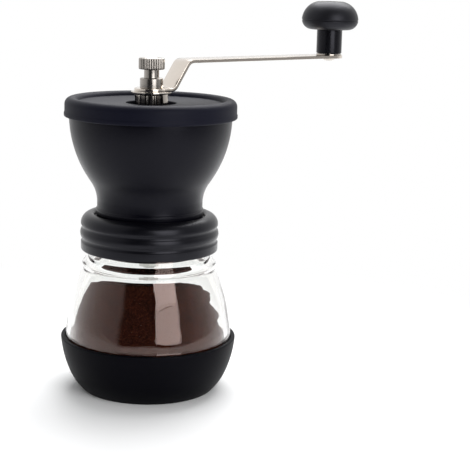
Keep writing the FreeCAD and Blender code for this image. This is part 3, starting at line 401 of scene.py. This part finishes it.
coffee, paint = new_finish("ground_coffee")
position = paint.node("TexCoord", out="Object")
grains = paint.node("TexVoronoi", {"Vector": position, "Scale": 2400.0}, out="Color")
grain_tone = paint.node("SeparateColor", {"Color": grains}, out="Red")
cloud = noise(paint, 90.0, 3.0)
shade = 0.55 * grain_tone + 0.4 * cloud
paint.surface({
    "Base Color": paint.node("ValToRGB", {"Fac": shade}, out="Color", stops=(
        (0.1, (0.01, 0.0018, 0.0008, 1)),
        (0.55, (0.043, 0.009, 0.0038, 1)),
        (0.95, (0.1, 0.028, 0.013, 1)),
    )),
    "Roughness": 0.78 + 0.15 * grain_tone,
    "Specular IOR Level": 0.05,
    "Normal": paint.node("Bump", {"Height": grain_tone, "Strength": 0.8, "Distance": 0.0004}, out="Normal"),
})
add_piece("ground_coffee", [coffee_grid], coffee, "jar", None)


# Collar: the ribbed black cap that screws on the jar, moulded with the deck above the burrs.
# A shallow rib between two grooves gives a grip, and a ring inside holds the burr holder's lugs.
deck_under = jar_rim + 1.5 * MM
deck_top = deck_under + 3.0 * MM
collar_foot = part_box("collar")[0].z
collar_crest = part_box("collar")[1].z
collar_radius = 36.1 * MM
collar_bore = 33.5 * MM
crest_radius = 31.2 * MM
well_radius = 28.6 * MM
throat = 17.2 * MM
bayonet_bore = 26.4 * MM
bayonet_radius = 27.7 * MM
ledge_foot = 78.45 * MM
ledge_top = 80.45 * MM
ledge_radius = 24.6 * MM
ledge_half = math.radians(20)
band_top = collar_foot + 4.4 * MM
groove_top = band_top + 2.6 * MM
rib_top = groove_top + 3.8 * MM
shoulder_foot = rib_top + 2.6 * MM
groove_radius = collar_radius - 0.5 * MM
rib_radius = collar_radius + 0.4 * MM
shoulder_bend = (crest_radius + 0.72 * (collar_radius - crest_radius),
                 shoulder_foot + 0.71 * (collar_crest - shoulder_foot))
crest_bend = (well_radius + 0.3 * (crest_radius - well_radius), deck_top + 0.75 * (collar_crest - deck_top))
low_groove = (groove_radius, (band_top + groove_top) / 2)
rib_crest = (rib_radius, (groove_top + rib_top) / 2)
high_groove = (groove_radius, (rib_top + shoulder_foot) / 2)
ribbing = np.concatenate([
    arc((collar_radius, band_top), low_groove, (collar_radius, groove_top)),
    arc((collar_radius, groove_top), rib_crest, (collar_radius, rib_top))[1:],
    arc((collar_radius, rib_top), high_groove, (collar_radius, shoulder_foot))[1:],
])
ease = np.array([1, 2, 3, 2, 1]) / 9
ribbing[2:-2, 0] = np.convolve(ribbing[:, 0], ease, "valid")
collar_outline = soften([
    (collar_bore, collar_foot, 0.4 * MM),
    (collar_radius, collar_foot, 1.0 * MM),
    *plain(ribbing),
    *plain(arc((collar_radius, shoulder_foot), shoulder_bend, (crest_radius, collar_crest), 18))[1:],
    *plain(arc((crest_radius, collar_crest), crest_bend, (well_radius, deck_top), 10))[1:],
    (throat, deck_top, 0.3 * MM),
    (throat, deck_under, 0.3 * MM),
    (bayonet_bore, deck_under, 0.3 * MM),
    (bayonet_bore, ledge_foot, 0.3 * MM),
    (bayonet_radius, ledge_foot, 0.3 * MM),
    (bayonet_radius, deck_under, 0.3 * MM),
    (collar_bore, deck_under, 0.6 * MM),
])


def sector(outline, middle, half, columns=24):
    """A block of ring: the outline (r, z) carried from middle - half to middle + half, with
    its two ends drawn together on the outline's own middle."""
    angle = middle + half * np.linspace(-1, 1, columns)
    end = np.broadcast_to(outline.mean(axis=0), outline.shape)[None]
    section = np.concatenate([end, outline[None].repeat(columns, 0), end])
    angle = np.concatenate([angle[:1], angle, angle[-1:]])[:, None]
    radius = section[..., 0]
    return np.stack([radius * np.cos(angle), radius * np.sin(angle), section[..., 1]], axis=-1)


ledge_root = bayonet_bore + 0.5 * MM
ledge_outline = soften([
    (ledge_radius, ledge_foot + 0.02 * MM, 0.2 * MM),
    (ledge_root, ledge_foot + 0.02 * MM, 0.2 * MM),
    (ledge_root, ledge_top, 0.2 * MM),
    (ledge_radius, ledge_top, 0.2 * MM),
])
ledges = [sector(ledge_outline, math.tau * number / 3, ledge_half) for number in range(3)]
satin_black = moulded_finish("satin_black", (0.0015, 0.0015, 0.0026, 1), (0.0028, 0.0028, 0.0044, 1),
                             0.3, 0.24, 3400.0, 0.00005)
add_piece("collar_cap", [lathe(collar_outline), *ledges], satin_black, "head", "hopper_plastic", "collar")


# Hopper: a tulip-shaped black bowl that draws in to a neck and opens into a funnel floor.
# A small lip round its foot throws a shadow line where it stands in the collar.
hopper_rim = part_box("hopper")[1].z
hopper_radius = 42.4 * MM
hopper_wall = 2.4 * MM
hopper_neck = 27.7 * MM
spigot = 28.0 * MM
lip_foot = deck_top + 3.1 * MM
lip_top = lip_foot + 1.3 * MM
lip_reach = 0.6 * MM
neck_top = deck_top + 9.0 * MM
turn_top = deck_top + 19.5 * MM
turn_radius = hopper_neck + 4.1 * MM
turn_bend = ((hopper_neck + turn_radius) / 2 - 0.95 * MM, (neck_top + turn_top) / 2)
band_foot = hopper_rim - 5.6 * MM
bowl_bend = ((turn_radius + hopper_radius) / 2 + 2.5 * MM, (turn_top + band_foot) / 2)
seat_top = deck_top + 1.65 * MM
seat_radius = 21.15 * MM


def eased(points, rounds=6):
    """Smooth a run of points by moving each to the mean of itself and its two neighbours."""
    points = points.copy()
    for _ in range(rounds):
        points[1:-1] = (points[:-2] + points[1:-1] + points[2:]) / 3
    return points


def bowl_wall(inset):
    """The bowl's side from its neck to its rim band: the turned-in neck and the swelling bowl
    are two arcs, eased where they meet and set in by the wall."""
    turned = arc((hopper_neck - inset, neck_top), (turn_bend[0] - inset, turn_bend[1]),
                 (turn_radius - inset, turn_top), 16)
    bowl = arc((turn_radius - inset, turn_top), (bowl_bend[0] - inset, bowl_bend[1]),
               (hopper_radius - inset, band_foot), 34)
    return eased(np.concatenate([turned, bowl[1:]]))


hopper_outline = soften([
    (spigot, deck_top + 0.02 * MM, 0.2 * MM),
    (spigot, lip_foot, 0.1 * MM),
    (hopper_neck + lip_reach, lip_foot, 0.35 * MM),
    (hopper_neck + lip_reach, lip_top, 0.6 * MM),
    (hopper_neck, lip_top + lip_reach, 0.8 * MM),
    *plain(bowl_wall(0.0)),
    (hopper_radius, hopper_rim, 0.8 * MM),
    (hopper_radius - hopper_wall, hopper_rim, 0.8 * MM),
    *plain(bowl_wall(hopper_wall)[::-1]),
    (throat, deck_top + 2.5 * MM, 0.4 * MM),
    (throat, seat_top, 0.1 * MM),
    (seat_radius, seat_top, 0.1 * MM),
    (seat_radius, deck_top + 0.02 * MM, 0.1 * MM),
])
bowl_black = moulded_finish("bowl_black", (0.001, 0.001, 0.0025, 1), (0.0019, 0.0018, 0.0042, 1),
                            0.3, 0.15, 3400.0, 0.00005)
add_piece("hopper_bowl", [lathe(hopper_outline)], bowl_black, "head", "hopper_plastic", "hopper")


# Lid: one silicone moulding with a rolled rim that is pushed down over the hopper.
# Its recessed plate has a round hole, wide enough for the shaft and its adjusting nut.
lid_radius = 44.75 * MM
lid_bore = 42.8 * MM
lid_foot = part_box("hopper_lid")[0].z
lid_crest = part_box("hopper_lid")[1].z
lid_plate_foot = hopper_rim + 0.6 * MM
lid_plate_top = lid_plate_foot + 2.2 * MM
lid_round = 3.6 * MM
lid_crown = lid_radius - lid_round
lid_well = lid_radius - 7.0 * MM
lid_hole = 13.1 * MM
plug_radius = 39.6 * MM
plug_bore = 37.6 * MM
plug_foot = hopper_rim - 3.2 * MM
bead_rise = 0.3 * MM
rim_bend = (lid_crown + lid_round * math.sqrt(0.5), lid_crest - lid_round * (1 - math.sqrt(0.5)))
well_bend = (lid_well + 0.32 * (lid_crown - lid_well),
             lid_plate_top + 0.7 * (lid_crest - lid_plate_top))
lid_outline = soften([
    (lid_hole, lid_plate_foot, 0.5 * MM),
    (plug_bore, lid_plate_foot, 0.5 * MM),
    (plug_bore, plug_foot, 0.4 * MM),
    (plug_radius, plug_foot, 0.4 * MM),
    (plug_radius, hopper_rim + 0.02 * MM, 0.2 * MM),
    (lid_bore, hopper_rim + 0.02 * MM, 0.2 * MM),
    (lid_bore, lid_foot, 0.3 * MM),
    (lid_radius + bead_rise, lid_foot, 0.9 * MM),
    (lid_radius + bead_rise, lid_foot + 1.9 * MM, 0.7 * MM),
    (lid_radius, lid_foot + 2.6 * MM, 0.7 * MM),
    *plain(arc((lid_radius, lid_crest - lid_round), rim_bend, (lid_crown, lid_crest), 14)),
    *plain(arc((lid_crown, lid_crest), well_bend, (lid_well, lid_plate_top), 10))[1:-1],
    (lid_well, lid_plate_top, 0.8 * MM),
    (lid_hole, lid_plate_top, 0.6 * MM),
])
lid_silicone = moulded_finish("lid_silicone", (0.002, 0.0023, 0.0068, 1), (0.0036, 0.004, 0.0105, 1),
                              0.52, 0.13, 2600.0, 0.00006)
add_piece("lid_cap", [lathe(lid_outline)], lid_silicone, "lid", "silicone", "hopper_lid")


# Adjusting nut: a thick steel wheel on the shaft with twelve round notches.
# The nib on the stop plate's tab sits in one of them and keeps the grind setting.
nut_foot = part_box("adjusting_nut")[0].z
nut_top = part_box("adjusting_nut")[1].z
nut_radius = 8.55 * MM
nut_rim = 7.0 * MM
nut_bore = 3.06 * MM
notch_count = 12
notch_radius = 1.25 * MM
tab_angle = math.radians(-70)


def scallop(angle):
    """How deep a notch is at an angle: the chord of a circle centred on the nut's edge."""
    pitch = math.tau / notch_count
    away = nut_radius * np.abs((angle - tab_angle + pitch / 2) % pitch - pitch / 2)
    return np.sqrt(np.clip(notch_radius**2 - away**2, 0, None))


def steel_finish(name, colour, roughness, scratch, squeeze):
    """Steel: bright metal with fine lines, drawn out along one direction, in its gloss and face."""
    made, paint = new_finish(name)
    lines = noise(paint, scratch, 3.0, 0.6, squeeze)
    smear = noise(paint, 160.0, 2.0)
    paler = tuple(min(1.0, 1.12 * part) for part in colour[:3]) + (1,)
    paint.surface({
        "Base Color": smear.mix(colour, paler),
        "Metallic": 1.0,
        "Roughness": roughness - 0.05 + 0.06 * lines + 0.08 * smear,
        "Normal": paint.node("Bump", {"Height": lines, "Strength": 0.12, "Distance": 0.00004},
                             out="Normal"),
    })
    return made


polished_steel = steel_finish("polished_steel", (0.46, 0.425, 0.385, 1), 0.1, 900.0, (0.4, 0.4, 6.0))
plain_steel = steel_finish("plain_steel", (0.8, 0.785, 0.76, 1), 0.3, 900.0, (0.4, 0.4, 6.0))
nut_outline = soften([
    (nut_bore, nut_foot + 0.02 * MM, 0.2 * MM),
    (nut_radius, nut_foot + 0.02 * MM, 0.6 * MM),
    (nut_radius, nut_top, 0.6 * MM),
    (nut_bore, nut_top, 0.2 * MM),
])
nut_grid = lathe(nut_outline, 288)
angle = np.linspace(0, math.tau, nut_grid.shape[1], endpoint=False)
radius = np.linalg.norm(nut_grid[..., :2], axis=-1)
rounding = (nut_radius - radius) * (radius > nut_rim)
notched = np.minimum(radius, nut_radius - scallop(angle)[None, :] - rounding)
nut_grid[..., :2] *= (notched / radius)[..., None]
wheel_steel = steel_finish("wheel_steel", (0.2, 0.185, 0.17, 1), 0.16, 900.0, (0.4, 0.4, 6.0))
add_piece("adjusting_wheel", [nut_grid], wheel_steel, "adjuster", "polished_steel", "adjusting_nut")


# Stop plate: a bright pressed disc, keyed to the shaft's flats under the crank.
# One tab is bent down beside the adjusting nut, leans out a little and has a nib in its notch.
plate_under = nut_top + 0.4 * MM
plate_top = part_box("stop_plate")[1].z
plate_radius = 10.5 * MM
plate_bore = 3.06 * MM
tab_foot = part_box("stop_plate")[0].z
tab_top = plate_top - 0.1 * MM
tab_inner = 8.95 * MM
tab_half = 1.8 * MM
tab_lean = 0.9 * MM
nib_foot = tab_foot + 0.2 * MM
nib_top = plate_under + 0.3 * MM
nib_inner = 7.85 * MM
nib_outer = 9.6 * MM
nib_half = 0.65 * MM
nib_middle = 9.0 * MM
plate_outline = soften([
    (plate_bore, plate_under, 0.1 * MM),
    (plate_radius, plate_under, 0.3 * MM),
    (plate_radius, plate_top, 0.3 * MM),
    (plate_bore, plate_top, 0.1 * MM),
])
tab_outline = soften([
    (tab_inner, tab_foot, 0.3 * MM),
    (plate_radius, tab_foot, 0.3 * MM),
    (plate_radius - tab_lean, tab_top, 0.4 * MM),
    (tab_inner, tab_top, 0.2 * MM),
])
nib_outline = soften([
    (nib_inner, nib_foot, 0.2 * MM),
    (nib_outer, nib_foot, 0.2 * MM),
    (nib_outer, nib_top, 0.2 * MM),
    (nib_inner, nib_top, 0.2 * MM),
])
add_piece("stop_disc", [
    lathe(plate_outline, 96),
    sector(tab_outline, tab_angle, math.asin(tab_half / plate_radius)),
    sector(nib_outline, tab_angle, math.asin(nib_half / nib_middle)),
], polished_steel, "shaft", "polished_steel", "stop_plate")


# Crank arm: a flat steel strap with a round end at the shaft, joggled up over the hopper.
# It is pressed from sheet, so its edges are nearly square and its faces are bright.
strap_half = 0.8 * MM
strap_edge = 0.08 * MM
root_radius = 8.9 * MM
root_half = 8.0 * MM
tip_radius = 7.5 * MM
crank_reach = 110.0 * MM
root_level = plate_top + strap_half
tip_level = root_level + 15.9 * MM
low_bend = (9.6 * MM, root_level)
high_bend = (18.5 * MM, root_level + 14.7 * MM)
bend_reach = 2.4 * MM
flat_start = 98.0 * MM
crank_line = soften([
    (-root_radius, root_level, 0.0),
    (*low_bend, bend_reach),
    (*high_bend, bend_reach),
    (flat_start, tip_level, 1.0 * MM),
    (crank_reach + tip_radius, tip_level, 0.0),
], closed=False, steps=12)


def strap_half_width(along):
    """Half the strap's width at a distance along X: a circle at each end, tapered sides between."""
    root_start = math.sqrt(root_radius**2 - root_half**2)
    side = root_half + (tip_radius - root_half) * (along - root_start) / (crank_reach - root_start)
    root = np.sqrt(np.clip(root_radius**2 - along**2, 0, None))
    tip = np.sqrt(np.clip(tip_radius**2 - (along - crank_reach) ** 2, 0, None))
    return np.where(along < root_start, root, np.where(along > crank_reach, tip, side))


def strap(line, stations=420):
    """Carry a flat section with rounded corners along a line in X and Z: at each station the
    section's corner circles sit at the strap's half width and half thickness."""
    length = np.concatenate([[0], np.cumsum(np.linalg.norm(np.diff(line, axis=0), axis=1))])
    share = (1 - np.cos(math.pi * np.linspace(0, 1, stations))) / 2
    place = np.column_stack([np.interp(share * length[-1], length, line[:, axis]) for axis in (0, 1)])
    heading = np.gradient(place, axis=0)
    heading /= np.linalg.norm(heading, axis=1, keepdims=True)
    half = strap_half_width(place[:, 0])[:, None]
    corner = np.minimum(strap_edge, half)
    angle = (np.arange(24) + 0.5) / 24 * math.tau
    across = np.sign(np.cos(angle)) * (half - corner) + corner * np.cos(angle)
    thick = np.sign(np.sin(angle)) * (strap_half - strap_edge) + strap_edge * np.sin(angle)
    thick = np.broadcast_to(thick, across.shape)
    grid = np.stack([
        place[:, :1] - heading[:, 1:] * thick,
        across,
        place[:, 1:] + heading[:, :1] * thick,
    ], axis=-1)
    ends = grid[[0, -1]].mean(axis=1, keepdims=True) + np.zeros((1, 24, 1))
    return np.concatenate([ends[:1], grid, ends[1:]])


strap_steel = steel_finish("strap_steel", (0.66, 0.598, 0.535, 1), 0.13, 700.0, (0.5, 6.0, 6.0))
add_piece("crank_strap", [strap(crank_line)], strap_steel, "shaft", "polished_steel", "crank_arm")


# Thumb nut: turned in one piece, with a plain base, a slim neck and a knurled head.
# It screws down the top of the shaft and clamps the crank on its flats.
thumb_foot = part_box("thumb_nut")[0].z
thumb_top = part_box("thumb_nut")[1].z
thumb_base = 6.0 * MM
thumb_neck = 3.9 * MM
thumb_head = 6.75 * MM
knurl_core = 5.6 * MM
dish_radius = thumb_head - 2.6 * MM
dish_level = thumb_top - 0.25 * MM
base_top = thumb_foot + 5.3 * MM
head_foot = base_top + 4.4 * MM
knurl_count = 30
knurl_depth = 0.3 * MM
thumb_outline = soften([
    (0.0, thumb_foot, 0.0),
    (thumb_base, thumb_foot, 0.3 * MM),
    (thumb_base, base_top, 0.7 * MM),
    (thumb_neck, base_top, 0.3 * MM),
    (thumb_neck, head_foot, 0.3 * MM),
    (thumb_head, head_foot, 0.7 * MM),
    (thumb_head, head_foot + 1.5 * MM, 0.0),
    (thumb_head, head_foot + 3.0 * MM, 0.0),
    (thumb_head, thumb_top, 1.2 * MM),
    (thumb_head - 2.2 * MM, thumb_top, 0.3 * MM),
    (dish_radius, dish_level, 0.3 * MM),
    (0.0, dish_level, 0.0),
])
thumb_grid = lathe(thumb_outline, knurl_count * 12)
angle = np.linspace(0, math.tau, thumb_grid.shape[1], endpoint=False)
radius = np.linalg.norm(thumb_grid[..., :2], axis=-1)
knurled = (thumb_grid[..., 2] > head_foot - 0.1 * MM) * np.clip((radius - knurl_core) / MM, 0, 1)
groove = knurl_depth * np.abs(np.sin(knurl_count * angle / 2))[None, :] ** 0.7
thumb_grid[..., :2] *= (1 - knurled * (knurl_depth - groove) / np.maximum(radius, MM))[..., None]
thumb_steel = steel_finish("thumb_steel", (0.35, 0.325, 0.3, 1), 0.24, 900.0, (0.4, 0.4, 6.0))
add_piece("thumb_screw", [thumb_grid], thumb_steel, "shaft", "polished_steel", "thumb_nut")


# Knob: a mushroom head pressed on a sleeve, which spins on a pin riveted through the arm.
# The head is moulded in two halves, and the pin's own head sits in a recess on top.
pin_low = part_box("knob_pin")[0].z
washer_foot, washer_top = (corner.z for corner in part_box("knob_washer"))
sleeve_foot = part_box("knob_sleeve")[0].z
knob_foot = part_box("knob_head")[0].z
knob_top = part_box("knob_head")[1].z
knob_radius = 15.55 * MM
knob_under = 10.9 * MM
knob_crown = 7.0 * MM
knob_belly = knob_foot + 6.3 * MM
recess_radius = 5.55 * MM
recess_floor = knob_top - 5.6 * MM
pin_radius = 2.6 * MM
pin_bore = 2.66 * MM
pin_end = 2.4 * MM
pin_head = 4.3 * MM
pin_seat = recess_floor + 0.2 * MM
pin_crown = recess_floor + 1.7 * MM
rivet_radius = 4.0 * MM
rivet_top = pin_low + 1.5 * MM
sleeve_radius = 7.0 * MM
seam_depth = 0.3 * MM
seam_half = 0.22 * MM
knob_axis = (crank_reach, 0.0)
under_bend = (knob_under + 0.73 * (knob_radius - knob_under),
              knob_foot + 0.3 * (knob_belly - knob_foot))
crown_bend = (knob_crown + 0.72 * (knob_radius - knob_crown),
              knob_belly + 0.6 * (knob_top - knob_belly))
under_curve = arc((knob_under, knob_foot), under_bend, (knob_radius, knob_belly), 70)
crown_curve = arc((knob_radius, knob_belly), crown_bend, (knob_crown, knob_top), 30)
knob_side = eased(np.concatenate([under_curve, crown_curve[1:]]), 3)
seam_level = knob_belly - 1.2 * MM
knob_side[:, 0] -= seam_depth * np.exp(-(((knob_side[:, 1] - seam_level) / seam_half) ** 2))
knob_outline = soften([
    (pin_bore, knob_foot + 4.1 * MM, 0.0),
    (pin_bore, knob_foot + 0.02 * MM, 0.0),
    (knob_under - 0.8 * MM, knob_foot + 0.02 * MM, 0.5 * MM),
    *plain(knob_side),
    (recess_radius, knob_top, 0.6 * MM),
    (recess_radius, recess_floor, 0.5 * MM),
    (pin_bore, recess_floor, 0.2 * MM),
])
sleeve_outline = soften([
    (pin_bore, sleeve_foot, 0.2 * MM),
    (sleeve_radius, sleeve_foot, 0.5 * MM),
    (sleeve_radius, knob_foot, 0.2 * MM),
    (pin_bore, knob_foot, 0.0),
])
washer_outline = soften([
    (pin_bore, washer_foot, 0.1 * MM),
    (sleeve_radius, washer_foot, 0.25 * MM),
    (sleeve_radius, washer_top, 0.25 * MM),
    (pin_bore, washer_top, 0.1 * MM),
])
pin_outline = soften([
    (0.0, pin_low, 0.0),
    (pin_end, pin_low, 1.0 * MM),
    (rivet_radius, rivet_top, 0.2 * MM),
    (pin_radius, rivet_top, 0.0),
    (pin_radius, pin_seat, 0.0),
    (pin_head, pin_seat, 0.3 * MM),
    (pin_head, pin_crown, 0.5 * MM),
    (0.0, pin_crown, 0.0),
])
knob_plastic = moulded_finish("knob_plastic", (0.0025, 0.0025, 0.0036, 1), (0.0045, 0.0045, 0.006, 1),
                              0.42, 0.3, 2800.0, 0.00006)
sleeve_plastic = moulded_finish("sleeve_plastic", (0.0025, 0.0025, 0.0034, 1), (0.004, 0.004, 0.0052, 1),
                                0.24, 0.24, 1500.0, 0.00002)
add_piece("knob_cap", [lathe(knob_outline, 120, knob_axis)],
          knob_plastic, "knob", "knob_plastic", "knob_head")
add_piece("knob_stem", [lathe(sleeve_outline, 96, knob_axis)],
          sleeve_plastic, "knob", "sleeve_plastic", "knob_sleeve")
add_piece("knob_ring", [lathe(washer_outline, 96, knob_axis)],
          polished_steel, "shaft", "brushed_steel", "knob_washer")
add_piece("knob_rivet", [lathe(pin_outline, 96, knob_axis)],
          polished_steel, "shaft", "brushed_steel", "knob_pin")


# Burr spring: a short open coil of steel wire between the lower bush and the inner burr.
# It keeps the burrs apart. On the mill it shortens as the adjusting nut draws the shaft up;
# here the coil is built at one length.
spring_low, spring_high = (corner.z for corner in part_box("burr_spring"))
coil_radius = 5.2 * MM
wire_radius = 0.5 * MM
coil_turns = 3.5


def coil(stations=240, sides=14):
    """A round wire along a helix: the path is (R cos a, R sin a, z) with z rising evenly, and
    the wire's circle lies square to the path's heading at each station."""
    angle = np.linspace(0, coil_turns * math.tau, stations)[:, None]
    climb = (spring_high - spring_low - 2 * wire_radius) / (coil_turns * math.tau)
    spot = np.column_stack([coil_radius * np.cos(angle), coil_radius * np.sin(angle),
                            spring_low + wire_radius + climb * angle])
    outward = np.column_stack([np.cos(angle), np.sin(angle), 0 * angle])
    heading = np.column_stack([-coil_radius * np.sin(angle), coil_radius * np.cos(angle),
                               climb + 0 * angle])
    heading /= np.linalg.norm(heading, axis=1, keepdims=True)
    upward = np.cross(outward, heading)
    ring = np.linspace(0, math.tau, sides, endpoint=False)[None, :, None]
    circle = np.cos(ring) * outward[:, None] + np.sin(ring) * upward[:, None]
    tube = spot[:, None] + wire_radius * circle
    ends = spot[[0, -1]][:, None] + np.zeros((1, sides, 1))
    return np.concatenate([ends[:1], tube, ends[1:]])


grind_travel = next(joint for joint in frame["joints"] if joint["name"] == "grind_adjust")["range_m"][1]
spring = add_piece("spring_coil", [coil()], plain_steel, "shaft", "brushed_steel", "burr_spring")
1 - grind_travel / (spring_high - spring_low)
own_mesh(spring)


# Inner workings: white ceramic burrs in a black holder, natural nylon bushes on the shaft,
# a pale silicone seal, and plain steel for the shaft, washers, nut and screws.
ceramic, paint = new_finish("burr_ceramic")
cloud = noise(paint, 120.0, 3.0)
pores = noise(paint, 2200.0, 2.0, 0.7)
paint.surface({
    "Base Color": cloud.mix((0.74, 0.72, 0.67, 1), (0.86, 0.84, 0.8, 1)),
    "Roughness": 0.32 + 0.2 * pores,
    "Normal": paint.node("Bump", {"Height": pores, "Strength": 0.3, "Distance": 0.00005}, out="Normal"),
})
nylon = moulded_finish("natural_nylon", (0.62, 0.6, 0.54, 1), (0.72, 0.7, 0.65, 1),
                       0.42, 0.5, 1800.0, 0.00004)
pale_seal = moulded_finish("seal_silicone", (0.66, 0.66, 0.64, 1), (0.75, 0.75, 0.73, 1),
                           0.5, 0.4, 1800.0, 0.00004)
inner_finishes = {
    "jar_seal": pale_seal, "shaft_support": satin_black, "upper_bush": nylon, "lower_bush": nylon,
    "drive_shaft": plain_steel, "burr_holder": satin_black, "outer_burr": ceramic, "inner_burr": ceramic,
    "burr_core": nylon, "spring_washer": plain_steel, "burr_washer": plain_steel, "burr_nut": plain_steel,
    "body_screws": plain_steel,
}
for node, look in inner_finishes.items():
    mesh = frame["nodes"][node].data
    mesh.materials.clear()
    mesh.materials.append(look)


# Studio: a pale floor that fades to white, two panels in front and a broad light above and behind.
# The camera stands where the photograph was taken, a little above the hopper's lid.
camera_bearing = math.radians(-30.5)
camera_pitch = math.radians(11.408)
camera_roll = math.radians(1.483)
camera_distance = 688.98 * MM
camera_offset = 45.227 * MM
camera_height = 222.45 * MM
focal_length = 101.75
rightward = Vector((math.cos(camera_bearing), math.sin(camera_bearing), 0))
forward = Vector((-math.sin(camera_bearing), math.cos(camera_bearing), 0))
aim = math.cos(camera_pitch) * forward - math.sin(camera_pitch) * Vector((0, 0, 1))
level_up = rightward.cross(aim)
camera_right = math.cos(camera_roll) * rightward + math.sin(camera_roll) * level_up
camera_up = math.cos(camera_roll) * level_up - math.sin(camera_roll) * rightward
lens = bpy.data.cameras.new("camera")
lens.lens = focal_length
lens.sensor_width = 36.0
camera = bpy.data.objects.new("camera", lens)
place = camera_offset * rightward - camera_distance * forward + Vector((0, 0, camera_height))
turned = Matrix((camera_right, camera_up, -aim)).transposed().to_4x4()
camera.matrix_world = Matrix.Translation(place) @ turned
bpy.context.scene.collection.objects.link(camera)
bpy.context.scene.camera = camera

floor_span = 0.48
fade_start = 0.07
fade_end = 0.3


def seen_through(paint):
    """1 on the rays that come through glass with no diffuse bounce on their way, and 0 on others."""
    direct = 1 - paint.maths("MINIMUM", paint.node("LightPath", out="Diffuse Depth"), 1.0)
    return paint.node("LightPath", out="Is Transmission Ray") * direct


floor_mesh = bpy.data.meshes.new("floor")
angle = np.linspace(0, math.tau, 96, endpoint=False)
rim = np.column_stack([floor_span * np.cos(angle), floor_span * np.sin(angle), 0 * angle])
floor_mesh.from_pydata(rim.tolist(), [], [list(range(len(rim)))])
floor = bpy.data.objects.new("floor", floor_mesh)
bpy.context.scene.collection.objects.link(floor)
pale_floor, paint = new_finish("pale_floor")
paint.surface({"Base Color": (0.92, 0.925, 0.93, 1), "Roughness": 0.6})
white = paint.node("Emission", {"Color": (1, 1, 1, 1), "Strength": 1.0})
position = paint.node("TexCoord", out="Object")
away = paint.node("VectorMath", {0: position}, out="Value", operation="LENGTH")
fade = paint.node("MapRange", {"Value": away, "From Min": fade_start, "From Max": fade_end},
                  interpolation_type="SMOOTHSTEP")
seen = paint.maths("MAXIMUM", paint.node("LightPath", out="Is Camera Ray"), seen_through(paint))
principled = Wire(paint.tree, paint.tree.nodes["Principled BSDF"].outputs[0])
shown = paint.node("MixShader", {0: fade * seen, 1: principled, 2: white})
paint.tree.links.new(shown.socket, paint.tree.nodes["Material Output"].inputs["Surface"])
floor_mesh.materials.append(pale_floor)

lamp_aim = Vector((0, 0, 0.09))


def softbox(name, side, lift, distance, width, tall, watts):
    """A flat lamp at angles round from the camera and up from the floor, aimed at the collar."""
    lamp = bpy.data.lights.new(name, "AREA")
    lamp.shape = "RECTANGLE"
    lamp.size = width
    lamp.size_y = tall
    lamp.energy = watts
    side = math.radians(side)
    lift = math.radians(lift)
    level = math.sin(side) * rightward - math.cos(side) * forward
    spot = math.cos(lift) * level + math.sin(lift) * Vector((0, 0, 1))
    facing = spot.to_track_quat("Z", "Y").to_matrix().to_4x4()
    made = bpy.data.objects.new(name, lamp)
    made.matrix_world = Matrix.Translation(lamp_aim + distance * spot) @ facing
    bpy.context.scene.collection.objects.link(made)


softbox("front_upper", 32, 27, 1.0, 0.6, 0.42, 3.6)
softbox("front_lower", 32, 4.5, 1.0, 0.6, 0.36, 2.3)
softbox("top_light", 165, 60, 1.1, 1.0, 1.0, 17.0)

room = bpy.data.worlds.new("room")
room.use_nodes = True
bpy.context.scene.world = room
air = Wire(room.node_tree)
seen = air.node("LightPath", out="Is Camera Ray")
mirrored = air.maths("MAXIMUM", air.node("LightPath", out="Is Glossy Ray"), seen_through(air))
direction = air.node("TexCoord", out="Generated")
flat = air.node("VectorMath", {0: direction, 1: (1, 1, 0)}, operation="MULTIPLY")
flat = air.node("VectorMath", {0: flat}, operation="NORMALIZE")
towards = air.node("VectorMath", {0: flat, 1: tuple(forward)}, out="Value", operation="DOT_PRODUCT")
around = air.node("ValToRGB", {"Fac": 0.5 + 0.5 * towards}, stops=(
    (0.09, (0.015, 0.015, 0.017, 1)), (0.12, (0.46, 0.46, 0.48, 1)),
    (0.45, (0.8, 0.8, 0.82, 1)), (0.75, (1, 1, 1, 1))))
aside = air.node("VectorMath", {0: flat, 1: tuple(rightward)}, out="Value", operation="DOT_PRODUCT")
dimmed = air.maths("MAXIMUM", aside, 0.0) * air.maths("MAXIMUM", 0.4 - towards, 0.0)
dimming = 0.6
ambient = 0.5
level = mirrored * around * (1 - dimming * dimmed) + (1 - mirrored) * ambient
strength = air.maths("MAXIMUM", seen, level)
backdrop = room.node_tree.nodes["Background"]
backdrop.inputs["Color"].default_value = (1, 1, 1, 1)
room.node_tree.links.new(strength.socket, backdrop.inputs["Strength"])
bpy.context.scene.view_settings.view_transform = "Standard"
